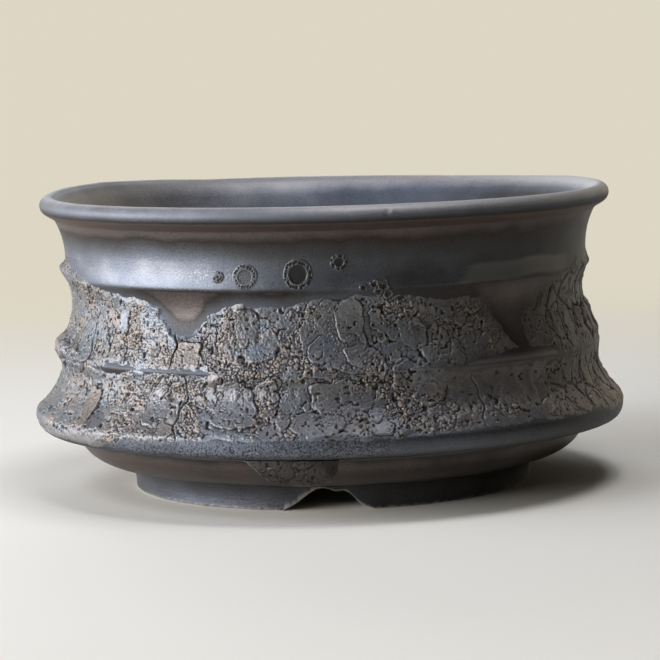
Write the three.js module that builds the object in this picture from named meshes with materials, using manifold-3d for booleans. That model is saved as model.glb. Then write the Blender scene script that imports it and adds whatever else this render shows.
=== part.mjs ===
// Round bonsai planter in dark stoneware. A wheel-thrown wall with two hollow belts between ridges stands on a
// low bowl and a notched foot ring, under a rolled lip. Slip daubed on the belts has dried to a cracked crust.
// Millimetres, +Z up. The origin is on the table, under the middle of the pot, and the front faces -Y.
// Angles round the pot are in degrees from the front, positive toward +X. Profiles are (radius, height).

import * as THREE from "three";
import { mergeVertices } from "three/addons/utils/BufferGeometryUtils.js";
import Module from "manifold-3d";

const wasm = await Module();
wasm.setup();

// Outer form: the widest radius, and the steps in and out from it
const SKIRT_RADIUS = 103.6; // widest part of the pot
const SKIRT_OVERHANG = 14.1; // skirt edge beyond the top of the bowl
const BOWL_SPREAD = 17.5; // top of the bowl beyond the top of the foot ring
const FOOT_FLARE = 2.4; // top of the foot ring beyond its edge on the table
const MIDDLE_RIDGE_STEP = 8.2; // middle ridge inside the skirt
const UPPER_RIDGE_STEP = 3.4; // upper ridge inside the middle ridge
const NECK_FLARE = 3.8; // top of the neck beyond the upper ridge
const LIP_OVERHANG = 8; // rolled lip beyond the upper ridge

// Heights, stacked from the table up
const FOOT_HEIGHT = 8.5;
const BOWL_HEIGHT = 11.2;
const SKIRT_RISE = 1.7; // climb of the skirt's underside, out from the bowl
const SKIRT_NOSE = 6.6; // face of the skirt's rounded edge
const LOWER_BELT_HEIGHT = 19.9;
const UPPER_BELT_HEIGHT = 27;
const NECK_HEIGHT = 20.5;
const LIP_STEM = 0.7; // crease between the neck and the roll

// Clay thicknesses and seams
const SEAM = 0.3; // luting seam between two pieces of clay
const WALL = 6.2;
const SEAT_WIDTH = 8; // width of the joint between the bowl and the wall
const SKIRT_THICKNESS = 13; // thick clay behind the skirt
const LIP_ROLL = 2.9; // radius of the rolled lip
const LOWER_COVE = 3.6; // pull of the lower belt's hollow, inside the middle ridge
const UPPER_COVE = 7; // pull of the upper belt's hollow, inside the upper ridge
const NECK_HOLLOW = 1.2; // pull of the neck's hollow, inside the upper ridge

// Foot ring and its cloud-shaped notches
const FOOT_WIDTH = 10;
const FOOT_EDGE = 0.6; // wiped round edge on the table
const NOTCH_COUNT = 3;
const NOTCH_WIDTH = 25; // on the table
const NOTCH_HEIGHT = 7.5;
const NOTCH_LOBES = 10.6; // across the two lobes at the top
const NOTCH_CUSP = 1.2; // point that hangs between the lobes
const NOTCH_TURN = -3.3; // middle of the front notch, in degrees

// Floor
const FLOOR_THICKNESS = 7;
const FLOOR_BEARING = 4; // edge of the floor inside the foot ring's outer edge
const DRAIN_RADIUS = 15;
const WIRE_HOLE_COUNT = 4;
const WIRE_HOLE_RADIUS = 3.25;
const WIRE_HOLE_CIRCLE = 38;

// Crust of dried slip
const CRUST_THICKNESS = 0.9;
const CRUST_ROOT = 1; // depth to which a daub is drawn before it is cut to its seat
const SEAT_RUN_ON = 4; // run of that cut past the ends of the profile
const CRUST_STEP = 5.5; // spacing of the facets
const CRUST_LEAST_COLUMNS = 9; // facets across the smallest daub
const CRUST_LEAST_ROWS = 5; // facets up the smallest daub
const CRACK_WIDTH = 0.8; // between neighbouring daubs
const CRACK_WAVE = 1.6; // sideways wander of a crack
const CRACK_PITCH = 19; // along the crack, from one wander to the next
const EDGE_WAVE = 1.5; // rise and fall of a daub's upper and lower edge
const EDGE_RIPPLES = [11, 29]; // ripples of those edges in one turn
const SIDE_CLIMB = 5; // reach of the side daubs above the upper ridge
const LOWER_DAUB_COUNT = 6;
const DROP_COUNT = 9; // splashed drops on each daub
const DROP_HEIGHT = 0.7;
const DROP_STEEPNESS = 3;
const DROP_SMALL = 4; // radius of the smallest drop
const DROP_SPREAD = 5; // largest drop's radius beyond that

// Blister rings on the neck: place round the pot, height above the upper ridge and radius
const BLISTER_HEIGHT = 0.8;
const BLISTERS = [
  { turn: -22.9, above: 4.9, radius: 1.9 },
  { turn: -16.8, above: 4.9, radius: 3.5 },
  { turn: -6.5, above: 6.1, radius: 4.2 },
  { turn: 2.4, above: 8.9, radius: 2.2 },
];

const SEGMENTS = 48; // facets round the pot
const BLISTER_SEGMENTS = 12;
const GOLDEN_STEPS = [0.618034, 0.754878, 0.56984]; // even scatter of the drops
const FULL_TURN = 360;

const bowlRadius = SKIRT_RADIUS - SKIRT_OVERHANG;
const footTopRadius = bowlRadius - BOWL_SPREAD;
const footRadius = footTopRadius - FOOT_FLARE;
const footInnerRadius = footRadius - FOOT_WIDTH;
const floorRadius = footRadius - FLOOR_BEARING;
const wallSeatRadius = bowlRadius - SEAT_WIDTH;
const middleRidgeRadius = SKIRT_RADIUS - MIDDLE_RIDGE_STEP;
const upperRidgeRadius = middleRidgeRadius - UPPER_RIDGE_STEP;
const neckTopRadius = upperRidgeRadius + NECK_FLARE;
const lipRadius = upperRidgeRadius + LIP_OVERHANG;

const bowlBottom = FOOT_HEIGHT + SEAM;
const floorTop = bowlBottom + FLOOR_THICKNESS;
const bowlTop = bowlBottom + BOWL_HEIGHT;
const wallBottom = bowlTop + SEAM;
const skirtEdge = wallBottom + SKIRT_RISE;
const skirtTop = skirtEdge + SKIRT_NOSE;
const middleRidge = skirtTop + LOWER_BELT_HEIGHT;
const upperRidge = middleRidge + UPPER_BELT_HEIGHT;
const wallTop = upperRidge + NECK_HEIGHT;
const lipBottom = wallTop + SEAM;
const lipTop = lipBottom + LIP_STEM + 2 * LIP_ROLL;

const satinStoneware = new THREE.MeshStandardMaterial({ color: 0x45403c, roughness: 0.42, metalness: 0.35 });
const driedSlip = new THREE.MeshStandardMaterial({ color: 0x574a40, roughness: 0.7, metalness: 0.1 });

const planter = new THREE.Group();

function addPiece(name, geometry, material) {
  const mesh = new THREE.Mesh(geometry, material);
  mesh.name = name;
  planter.add(mesh);
  return mesh;
}

// Revolve a closed profile about the pot's axis. The outside of the profile runs upward.
function revolve(points, segments = SEGMENTS) {
  return new THREE.LatheGeometry(points, segments).rotateX(Math.PI / 2);
}

function toSolid(geometry) {
  const bare = new THREE.BufferGeometry();
  bare.setAttribute("position", geometry.getAttribute("position"));
  bare.setIndex(geometry.getIndex());
  const merged = mergeVertices(bare);
  const vertProperties = merged.getAttribute("position").array;
  const triVerts = Uint32Array.from(merged.getIndex().array);
  return new wasm.Manifold(new wasm.Mesh({ numProp: 3, vertProperties, triVerts }));
}

function toGeometry(solid) {
  const { vertProperties, triVerts } = solid.getMesh();
  const geometry = new THREE.BufferGeometry();
  geometry.setAttribute("position", new THREE.BufferAttribute(vertProperties, 3));
  geometry.setIndex(new THREE.BufferAttribute(triVerts, 1));
  geometry.computeVertexNormals();
  return geometry;
}

// Foot ring: a flared ring, wiped round on the table and cut by cloud-shaped notches with two lobes and a cusp.
const footProfile = new THREE.Path()
  .moveTo(footInnerRadius, 0)
  .lineTo(footRadius - FOOT_EDGE, 0)
  .quadraticCurveTo(footRadius, 0, footRadius, FOOT_EDGE)
  .quadraticCurveTo(footRadius, FOOT_HEIGHT * 0.75, footTopRadius, FOOT_HEIGHT)
  .lineTo(footInnerRadius, FOOT_HEIGHT)
  .lineTo(footInnerRadius, 0);

const notchFoot = NOTCH_WIDTH / 2;
const notchLobe = NOTCH_LOBES / 2;
const notchShoulder = NOTCH_HEIGHT * 0.7;
const notchBelow = -FOOT_HEIGHT;
const notchShape = new THREE.Shape()
  .moveTo(notchFoot, notchBelow)
  .lineTo(notchFoot, 0)
  .quadraticCurveTo((notchFoot + notchLobe) / 2, notchShoulder * 0.3, notchLobe, notchShoulder)
  .quadraticCurveTo(notchLobe * 0.9, NOTCH_HEIGHT, notchLobe * 0.5, NOTCH_HEIGHT)
  .quadraticCurveTo(notchLobe * 0.15, NOTCH_HEIGHT, 0, NOTCH_HEIGHT - NOTCH_CUSP)
  .quadraticCurveTo(-notchLobe * 0.15, NOTCH_HEIGHT, -notchLobe * 0.5, NOTCH_HEIGHT)
  .quadraticCurveTo(-notchLobe * 0.9, NOTCH_HEIGHT, -notchLobe, notchShoulder)
  .quadraticCurveTo(-(notchFoot + notchLobe) / 2, notchShoulder * 0.3, -notchFoot, 0)
  .lineTo(-notchFoot, notchBelow);

let footSolid = toSolid(revolve(footProfile.getPoints(3)));
for (let notch = 0; notch < NOTCH_COUNT; notch += 1) {
  const turn = THREE.MathUtils.degToRad(NOTCH_TURN + (notch * FULL_TURN) / NOTCH_COUNT);
  const cutter = new THREE.ExtrudeGeometry(notchShape, {
    depth: footTopRadius - footInnerRadius + 2 * FOOT_WIDTH,
    bevelEnabled: false,
    curveSegments: 3,
  });
  cutter.rotateX(Math.PI / 2).translate(0, FOOT_WIDTH - footInnerRadius, 0).rotateZ(turn);
  footSolid = footSolid.subtract(toSolid(cutter));
}
addPiece("foot_ring", toGeometry(footSolid), satinStoneware);

// Base bowl: a ring with a full outer curve, a flat joint on top for the wall and a fillet down to the floor.
const bowlCurve = new THREE.CubicBezierCurve(
  new THREE.Vector2(footTopRadius, bowlBottom),
  new THREE.Vector2(footTopRadius + BOWL_SPREAD * 0.48, bowlBottom + BOWL_HEIGHT * 0.04),
  new THREE.Vector2(bowlRadius - BOWL_SPREAD * 0.08, bowlBottom + BOWL_HEIGHT * 0.33),
  new THREE.Vector2(bowlRadius, bowlTop),
);
const bowlOutline = bowlCurve.getPoints(6);
const floorEdge = floorRadius + SEAM;
const bowlInside = new THREE.QuadraticBezierCurve(
  new THREE.Vector2(wallSeatRadius, bowlTop),
  new THREE.Vector2((wallSeatRadius * 3 + floorEdge) / 4, floorTop),
  new THREE.Vector2(floorEdge, floorTop),
);
const bowlStart = new THREE.Vector2(floorEdge, bowlBottom);
const bowlProfile = [bowlStart, ...bowlOutline, ...bowlInside.getPoints(3), bowlStart];
addPiece("base_bowl", revolve(bowlProfile), satinStoneware);

// Floor: a slab let into the bowl, bearing on the foot ring, pierced for drainage and for tie wire.
const floorShape = new THREE.Shape().absarc(0, 0, floorRadius, 0, 2 * Math.PI);
floorShape.holes.push(new THREE.Path().absarc(0, 0, DRAIN_RADIUS, 0, 2 * Math.PI));
for (let hole = 0; hole < WIRE_HOLE_COUNT; hole += 1) {
  const turn = THREE.MathUtils.degToRad(((hole + 0.5) * FULL_TURN) / WIRE_HOLE_COUNT);
  const x = WIRE_HOLE_CIRCLE * Math.sin(turn);
  const y = -WIRE_HOLE_CIRCLE * Math.cos(turn);
  floorShape.holes.push(new THREE.Path().absarc(x, y, WIRE_HOLE_RADIUS, 0, 2 * Math.PI));
}
const floorSettings = { depth: FLOOR_THICKNESS, bevelEnabled: false, curveSegments: SEGMENTS / 4 };
const floorSlab = addPiece("floor_slab", new THREE.ExtrudeGeometry(floorShape, floorSettings), satinStoneware);
floorSlab.position.z = bowlBottom;

// Body wall: the outside is the skirt's nose, the two belts and the neck, each one curve between two arrises.
const skirtNose = new THREE.CubicBezierCurve(
  new THREE.Vector2(SKIRT_RADIUS - SKIRT_NOSE * 0.4, skirtEdge),
  new THREE.Vector2(SKIRT_RADIUS - SKIRT_NOSE * 0.08, skirtEdge + SKIRT_NOSE * 0.06),
  new THREE.Vector2(SKIRT_RADIUS + SKIRT_NOSE * 0.06, skirtEdge + SKIRT_NOSE * 0.7),
  new THREE.Vector2(SKIRT_RADIUS - SKIRT_NOSE * 0.1, skirtTop),
);
const lowerBelt = new THREE.CubicBezierCurve(
  skirtNose.v3,
  new THREE.Vector2(middleRidgeRadius, skirtTop + LOWER_BELT_HEIGHT * 0.37),
  new THREE.Vector2(middleRidgeRadius - LOWER_COVE, skirtTop + LOWER_BELT_HEIGHT * 0.7),
  new THREE.Vector2(middleRidgeRadius, middleRidge),
);
const upperBelt = new THREE.QuadraticBezierCurve(
  lowerBelt.v3,
  new THREE.Vector2(upperRidgeRadius - UPPER_COVE, middleRidge + (UPPER_BELT_HEIGHT * 2) / 3),
  new THREE.Vector2(upperRidgeRadius, upperRidge),
);
const neck = new THREE.CubicBezierCurve(
  upperBelt.v2,
  new THREE.Vector2(upperRidgeRadius - NECK_HOLLOW / 2, upperRidge + NECK_HEIGHT * 0.22),
  new THREE.Vector2(upperRidgeRadius - NECK_HOLLOW, upperRidge + NECK_HEIGHT * 0.61),
  new THREE.Vector2(neckTopRadius, wallTop),
);
const wallOutline = [
  ...skirtNose.getPoints(4),
  ...lowerBelt.getPoints(6).slice(1),
  ...upperBelt.getPoints(5).slice(1),
  ...neck.getPoints(5).slice(1),
];
const wallInside = new THREE.SplineCurve([
  new THREE.Vector2(neckTopRadius - WALL, wallTop),
  new THREE.Vector2(upperRidgeRadius - NECK_HOLLOW / 2 - WALL, upperRidge + NECK_HEIGHT * 0.45),
  new THREE.Vector2(upperRidgeRadius - WALL, upperRidge),
  new THREE.Vector2(upperRidgeRadius - UPPER_COVE / 2 - WALL, middleRidge + (UPPER_BELT_HEIGHT * 2) / 3),
  new THREE.Vector2(middleRidgeRadius - LOWER_COVE / 4 - WALL, middleRidge),
  new THREE.Vector2(middleRidgeRadius - LOWER_COVE / 2 - WALL, skirtTop + LOWER_BELT_HEIGHT * 0.7),
  new THREE.Vector2(SKIRT_RADIUS - SKIRT_THICKNESS, skirtTop),
  new THREE.Vector2(wallSeatRadius, wallBottom),
]);
const wallJoint = new THREE.Vector2(bowlRadius, wallBottom);
const wallStart = new THREE.Vector2(wallSeatRadius, wallBottom);
addPiece(
  "body_wall",
  revolve([wallStart, wallJoint, ...wallOutline, ...wallInside.getPoints(10)]),
  satinStoneware,
);

// Rim roll: a bead laid over the neck, with the inside of the lip running down to the wall's inner face.
const rollCentre = new THREE.Vector2(lipRadius - LIP_ROLL, lipTop - LIP_ROLL);
const rollEnd = (Math.PI * 3) / 4;
const lipInner = neckTopRadius - WALL;
const rimProfile = new THREE.Path()
  .moveTo(lipInner, lipBottom)
  .lineTo(neckTopRadius, lipBottom)
  .absarc(rollCentre.x, rollCentre.y, LIP_ROLL, -Math.PI * 0.4, rollEnd)
  .quadraticCurveTo(lipInner + LIP_ROLL * 0.7, lipTop - LIP_ROLL, lipInner, lipBottom);
addPiece("rim_roll", revolve(rimProfile.getPoints(4)), satinStoneware);

// A profile moved out by a distance, square to each of its edges.
function offsetOutline(outline, distance) {
  return outline.map((point, index) => {
    const before = outline[Math.max(index - 1, 0)];
    const after = outline[Math.min(index + 1, outline.length - 1)];
    const into = point.clone().sub(before).normalize();
    const out = after.clone().sub(point).normalize();
    const along = into.clone().add(out).normalize();
    const edge = into.lengthSq() > 0 ? into : out;
    const stretch = distance / along.dot(edge);
    return new THREE.Vector2(point.x + along.y * stretch, point.y - along.x * stretch);
  });
}

// The clay just under a surface, grown out by the seam: what is cut with it seats on that surface.
// The profile runs on straight past both ends, so that a daub near an end is cut there too.
function seatCutter(outline) {
  const runOn = (end, next) => end.clone().add(end.clone().sub(next).setLength(SEAT_RUN_ON));
  const first = runOn(outline[0], outline[1]);
  const last = runOn(outline.at(-1), outline.at(-2));
  const whole = [first, ...outline, last];
  const outer = offsetOutline(whole, SEAM);
  const inner = offsetOutline(whole, -2 * CRUST_ROOT).reverse();
  return toSolid(revolve([...outer, ...inner, outer[0]]));
}

// Several curves of the outside as one path.
function joinCurves(...curves) {
  const path = new THREE.CurvePath();
  curves.forEach((curve) => path.add(curve));
  return path;
}

// The profile's point at a distance along a path, and the way it faces there, smoothed over one crust facet.
function surfaceAt(path, along) {
  const place = (distance) => path.getPoint(THREE.MathUtils.clamp(distance / path.getLength(), 0, 1));
  const reach = CRUST_STEP / 2;
  const slope = place(along + reach).sub(place(along - reach)).normalize();
  return { point: place(along), facing: new THREE.Vector2(slope.y, -slope.x) };
}

// A point at an angle round the pot and a distance along a path, off the surface by a depth (outward positive).
function pointOn(path, turn, along, depth) {
  const { point, facing } = surfaceAt(path, along);
  const angle = THREE.MathUtils.degToRad(turn);
  const radius = point.x + facing.x * depth;
  return new THREE.Vector3(radius * Math.sin(angle), -radius * Math.cos(angle), point.y + facing.y * depth);
}

// Splashed drops scattered over a daub, each a flat-topped disc.
function scatterDrops(daub) {
  return Array.from({ length: DROP_COUNT }, (_, index) => {
    const [across, up, size] = GOLDEN_STEPS.map((step) => ((index + 1 + daub.seed) * step) % 1);
    return {
      turn: THREE.MathUtils.lerp(daub.from, daub.to, across),
      along: THREE.MathUtils.lerp(daub.low, daub.high, up),
      radius: DROP_SMALL + DROP_SPREAD * size,
    };
  });
}

function crustDepth(drops, degree, turn, along) {
  const lifts = drops.map((drop) => {
    const distance = Math.hypot((turn - drop.turn) * degree, along - drop.along);
    return THREE.MathUtils.clamp(DROP_STEEPNESS * (1 - distance / drop.radius), 0, 1);
  });
  return SEAM + CRUST_THICKNESS + DROP_HEIGHT * Math.max(...lifts);
}

// A daub of slip between two cracks and two wavy edges: a block bent round the profile, then cut to its seat.
// Its lower and upper corners are rounded off by a share of its height. A daub that climbs past an arris has one
// row of facets along that arris and one more above it.
function crustGeometry(path, cutter, daub) {
  const drops = scatterDrops(daub);
  const rise = daub.high - daub.low;
  const degree = THREE.MathUtils.degToRad(surfaceAt(path, (daub.low + daub.high) / 2).point.x);
  const columns = Math.max(CRUST_LEAST_COLUMNS, Math.round(((daub.to - daub.from) * degree) / CRUST_STEP));
  const mainRows = Math.max(CRUST_LEAST_ROWS, Math.round(rise / CRUST_STEP));
  const rows = mainRows + (daub.climb > 0 ? 1 : 0);
  const ripple = (turn, count) => Math.sin(THREE.MathUtils.degToRad(turn) * count);
  const wander = (turn, along) => Math.sin((2 * Math.PI * along) / CRACK_PITCH + 3 * ripple(turn, 2));
  const crack = (turn, along) => turn + (CRACK_WAVE / degree) * wander(turn, along);
  const [slowRipples, fastRipples] = EDGE_RIPPLES;
  const wave = (turn) => EDGE_WAVE * ripple(turn, slowRipples) * ripple(turn, fastRipples);
  const block = new THREE.BoxGeometry(1, 1, 1, columns, rows, 1);
  const position = block.getAttribute("position");
  const halfCrack = CRACK_WIDTH / degree / 2;
  for (let index = 0; index < position.count; index += 1) {
    const across = position.getX(index) + 0.5;
    const row = Math.round((position.getY(index) + 0.5) * rows);
    const up = Math.min(row / mainRows, 1);
    const level = daub.low + rise * up;
    const left = crack(daub.from, level) + halfCrack;
    const right = crack(daub.to, level) - halfCrack;
    const turn = THREE.MathUtils.lerp(left, right, across);
    const arch = Math.sin(Math.PI * across);
    const low = daub.low + wave(turn) + (1 - arch) * rise * daub.roundLow;
    const top = daub.climb > 0 ? 0 : wave(turn) - (1 - arch) * rise * daub.roundHigh;
    const over = row > mainRows ? wave(turn) + (daub.climb * (1 + arch)) / 2 : 0;
    const along = THREE.MathUtils.lerp(low, daub.high + top, up) + over;
    const outside = position.getZ(index) > 0;
    const depth = outside ? crustDepth(drops, degree, turn, along) : -CRUST_ROOT;
    position.setXYZ(index, ...pointOn(path, turn, along, depth));
  }
  return toGeometry(toSolid(block).subtract(cutter));
}

const wallPath = joinCurves(skirtNose, lowerBelt, upperBelt, neck);
const bowlPath = joinCurves(bowlCurve);
const wallCutter = seatCutter(wallOutline);
const bowlCutter = seatCutter(bowlOutline);
const [skirtTopAt, middleRidgeAt, upperRidgeAt] = wallPath.getCurveLengths();
const edgeMargin = EDGE_WAVE + CRACK_WIDTH;

// Upper belt: daubs with bare clay between them. At the two sides they climb over the upper ridge.
const upperDaubs = [
  { from: -102, to: -60, high: upperRidgeAt, climb: SIDE_CLIMB },
  { from: -59, to: -35, high: upperRidgeAt - edgeMargin, climb: 0 },
  { from: -29, to: 38, high: upperRidgeAt - edgeMargin, climb: 0 },
  { from: 48, to: 110, high: upperRidgeAt, climb: SIDE_CLIMB },
  { from: 126, to: 238, high: upperRidgeAt - edgeMargin, climb: 0 },
];
upperDaubs.forEach((daub, index) => {
  const shape = { ...daub, low: middleRidgeAt + edgeMargin, roundLow: 0.1, roundHigh: 0.3, seed: index };
  addPiece(`crust_upper_${index + 1}`, crustGeometry(wallPath, wallCutter, shape), driedSlip);
});

// Lower belt: one coat all round, parted into daubs by cracks.
const lowerSpan = FULL_TURN / LOWER_DAUB_COUNT;
const lowerEdges = { low: skirtTopAt + edgeMargin, high: middleRidgeAt - edgeMargin, climb: 0 };
for (let index = 0; index < LOWER_DAUB_COUNT; index += 1) {
  const from = lowerSpan * (index - 1.5);
  const ends = { from, to: from + lowerSpan, roundLow: 0, roundHigh: 0 };
  const shape = { ...lowerEdges, ...ends, seed: index + upperDaubs.length };
  addPiece(`crust_lower_${index + 1}`, crustGeometry(wallPath, wallCutter, shape), driedSlip);
}

// Half-moon spill of slip on the bowl, under the skirt
const spillEdges = { low: edgeMargin, high: bowlPath.getLength() - edgeMargin, climb: 0 };
const spill = { ...spillEdges, from: -18, to: 1, roundLow: 0.8, roundHigh: 0, seed: 3 };
addPiece("crust_bowl", crustGeometry(bowlPath, bowlCutter, spill), driedSlip);

// Blister rings: small craters with a raised rim round a sunken pan, seated on the neck.
function blisterGeometry({ turn, above, radius }) {
  const along = upperRidgeAt + above;
  const top = SEAM + BLISTER_HEIGHT;
  const profile = [
    new THREE.Vector2(0, -CRUST_ROOT),
    new THREE.Vector2(radius, -CRUST_ROOT),
    new THREE.Vector2(radius, SEAM + BLISTER_HEIGHT * 0.4),
    new THREE.Vector2(radius * 0.86, top),
    new THREE.Vector2(radius * 0.68, top),
    new THREE.Vector2(radius * 0.52, SEAM + BLISTER_HEIGHT * 0.45),
    new THREE.Vector2(0, SEAM + BLISTER_HEIGHT * 0.45),
  ];
  const base = pointOn(wallPath, turn, along, 0);
  const outward = pointOn(wallPath, turn, along, 1).sub(base);
  const upright = new THREE.Quaternion().setFromUnitVectors(new THREE.Vector3(0, 1, 0), outward);
  const ring = new THREE.LatheGeometry(profile, BLISTER_SEGMENTS).applyQuaternion(upright);
  return toGeometry(toSolid(ring.translate(base.x, base.y, base.z)).subtract(wallCutter));
}
BLISTERS.forEach((blister, index) => {
  addPiece(`blister_ring_${index + 1}`, blisterGeometry(blister), driedSlip);
});

export default planter;
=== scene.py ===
"""Round bonsai planter in dark stoneware: the looks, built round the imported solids.

Shapes are worked out in millimetres and turned to metres as each mesh is made. A turn is the angle round
the pot in degrees from the front (-Y), positive toward +X. A run is the distance up a profile from its
lower end, and a rise is a run counted from the wall's middle ridge.
"""

import math

import bpy
import numpy as np
from mathutils import Matrix, Vector


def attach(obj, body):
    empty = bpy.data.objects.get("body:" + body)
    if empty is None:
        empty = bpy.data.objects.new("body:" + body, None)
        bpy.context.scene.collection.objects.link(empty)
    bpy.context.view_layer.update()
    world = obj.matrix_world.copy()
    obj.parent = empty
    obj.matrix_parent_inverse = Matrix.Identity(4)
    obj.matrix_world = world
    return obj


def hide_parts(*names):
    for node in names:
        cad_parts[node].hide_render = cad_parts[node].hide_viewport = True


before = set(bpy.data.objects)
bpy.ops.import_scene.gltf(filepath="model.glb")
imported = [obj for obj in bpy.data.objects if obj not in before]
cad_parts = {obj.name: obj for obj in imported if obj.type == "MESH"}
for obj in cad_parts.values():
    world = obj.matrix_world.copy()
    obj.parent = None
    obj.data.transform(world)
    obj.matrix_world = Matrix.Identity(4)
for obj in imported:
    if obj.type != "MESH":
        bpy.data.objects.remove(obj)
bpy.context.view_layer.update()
scene = bpy.context.scene
scene.view_settings.view_transform = "Standard"


# Camera: a long lens about a metre away and a little above the rim, as in the photograph.
# It is turned slightly about its own axis, because the photograph isn't quite level.
CAMERA_PLACE = Vector((0.0, -0.98407, 0.15842))
CAMERA_TARGET = Vector((0.00038, 0.0, 0.05276))
CAMERA_TILT = -0.0265
SENSOR_WIDTH = 36.0
FOCAL_LENGTH = 152.41
lens = bpy.data.cameras.new("camera")
lens.sensor_width = SENSOR_WIDTH
lens.lens = FOCAL_LENGTH
camera = bpy.data.objects.new("camera", lens)
aim = (CAMERA_TARGET - CAMERA_PLACE).to_track_quat("-Z", "Y").to_matrix()
aim = aim @ Matrix.Rotation(CAMERA_TILT, 3, "Z")
camera.matrix_world = Matrix.Translation(CAMERA_PLACE) @ aim.to_4x4()
scene.collection.objects.link(camera)
scene.camera = camera


# Stage: a sheet of cream card that lies flat under the pot and sweeps up far behind it, with five soft lamps.
# A large cool one stands to the left like a window, three weaker ones hang above, and a faint warm one fills
# the right. Away from the pot the card has one even tone, to the eye and in the glaze.
CARD_COLOUR = "#e2dac9"
CARD_ROUGHNESS = 0.85
EVEN_TONE = "#ddd6c4"
EVEN_FROM_REACH = 0.2
EVEN_FROM_DEPTH = 0.12
EVEN_FULLY = 0.75
ROOM_TONE = "#343331"


def linear(code):
    """Linear colour of an sRGB hex code: each channel through the sRGB curve, with full alpha."""
    channels = [int(code[k : k + 2], 16) / 255 for k in (1, 3, 5)]
    return [c / 12.92 if c <= 0.04045 else ((c + 0.055) / 1.055) ** 2.4 for c in channels] + [1.0]


def add_node(tree, kind, inputs=None, out=None, stops=(), **settings):
    """Adds one node: settings are its properties, inputs its values or links, stops the colours of a ramp.
    Gives the output of that name, or the node itself where none is named."""
    node = tree.nodes.new(kind)
    for key, value in settings.items():
        setattr(node, key, value)
    for key, value in (inputs or {}).items():
        if isinstance(value, bpy.types.NodeSocket):
            tree.links.new(value, node.inputs[key])
        else:
            node.inputs[key].default_value = value
    for index, (place, colour) in enumerate(stops):
        elements = node.color_ramp.elements
        element = elements[index] if index < 2 else elements.new(place)
        element.position = place
        element.color = linear(colour)
    return node.outputs[out] if out else node


card = bpy.data.materials.new("cream_card")
card.use_nodes = True
tree = card.node_tree
shader = tree.nodes["Principled BSDF"]
shader.inputs["Base Color"].default_value = linear(CARD_COLOUR)
shader.inputs["Roughness"].default_value = CARD_ROUGHNESS
place = add_node(tree, "ShaderNodeTexCoord", out="Object")
reach = add_node(tree, "ShaderNodeVectorMath", {0: place}, "Value", operation="LENGTH")
depth = add_node(tree, "ShaderNodeSeparateXYZ", {"Vector": place}, "Y")
ray = add_node(tree, "ShaderNodeLightPath")
even = []
for ray_kind, distance, start in (
    ("Is Camera Ray", reach, EVEN_FROM_REACH),
    ("Is Glossy Ray", depth, EVEN_FROM_DEPTH),
):
    away = add_node(
        tree,
        "ShaderNodeMapRange",
        {"Value": distance, "From Min": start, "From Max": EVEN_FULLY},
        "Result",
        interpolation_type="SMOOTHSTEP",
    )
    even.append(
        add_node(tree, "ShaderNodeMath", {0: ray.outputs[ray_kind], 1: away}, "Value", operation="MULTIPLY")
    )
glowing = add_node(tree, "ShaderNodeMath", {0: even[0], 1: even[1]}, "Value", operation="MAXIMUM")
glow = add_node(tree, "ShaderNodeEmission", {"Color": linear(EVEN_TONE), "Strength": 1.0}, "Emission")
surface = add_node(
    tree, "ShaderNodeMixShader", {"Fac": glowing, 1: shader.outputs["BSDF"], 2: glow}, "Shader"
)
tree.links.new(surface, tree.nodes["Material Output"].inputs["Surface"])

SWEEP_RADIUS = 0.9
SWEEP_START = 1.9
SWEEP_STEPS = 25
CARD_REACH = 6.0
CARD_TOP = 4.0
bend = np.linspace(0, np.pi / 2, SWEEP_STEPS)
swept = SWEEP_START + SWEEP_RADIUS * np.sin(bend)
sweep_y = np.concatenate([[-CARD_REACH], swept, [SWEEP_START + SWEEP_RADIUS]])
sweep_z = np.concatenate([[0.0], SWEEP_RADIUS * (1 - np.cos(bend)), [CARD_TOP]])
sweep_x = np.repeat([[-CARD_REACH], [CARD_REACH]], len(sweep_y), axis=1)
sweep_points = np.stack([sweep_x, np.tile(sweep_y, (2, 1)), np.tile(sweep_z, (2, 1))], axis=-1)
strip = np.arange(len(sweep_y) - 1)
strip_faces = np.stack([strip, strip + len(sweep_y), strip + len(sweep_y) + 1, strip + 1], axis=-1)
backdrop_mesh = bpy.data.meshes.new("backdrop")
backdrop_mesh.from_pydata(sweep_points.reshape(-1, 3).tolist(), [], strip_faces.tolist())
backdrop_mesh.shade_smooth()
backdrop_mesh.materials.append(card)
backdrop = bpy.data.objects.new("backdrop", backdrop_mesh)
scene.collection.objects.link(backdrop)

# Each lamp's place, width, height, power and colour
LAMPS = {
    "window": ((-1.25, -0.3, 0.24), 1.8, 0.44, 46.0, "#f0f4ff"),
    "back_window": ((-0.3, 1.15, 0.75), 0.8, 0.5, 5.0, "#e2ecff"),
    "skylight": ((-0.75, -0.5, 0.95), 0.6, 0.4, 5.0, "#d4e2ff"),
    "overhead": ((0.2, -0.22, 1.25), 0.5, 0.5, 8.0, "#ecf1ff"),
    "fill": ((1.1, -0.7, 0.4), 0.8, 0.8, 0.1, "#fff0dc"),
}
LAMP_TARGET = Vector((0, 0, 0.06))
for name, (place, width, height, power, colour) in LAMPS.items():
    light = bpy.data.lights.new(name, "AREA")
    light.shape = "RECTANGLE"
    light.size = width
    light.size_y = height
    light.energy = power
    light.color = linear(colour)[:3]
    lamp = bpy.data.objects.new(name, light)
    toward_pot = (LAMP_TARGET - Vector(place)).to_track_quat("-Z", "Y").to_matrix()
    lamp.matrix_world = Matrix.Translation(place) @ toward_pot.to_4x4()
    scene.collection.objects.link(lamp)

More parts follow.
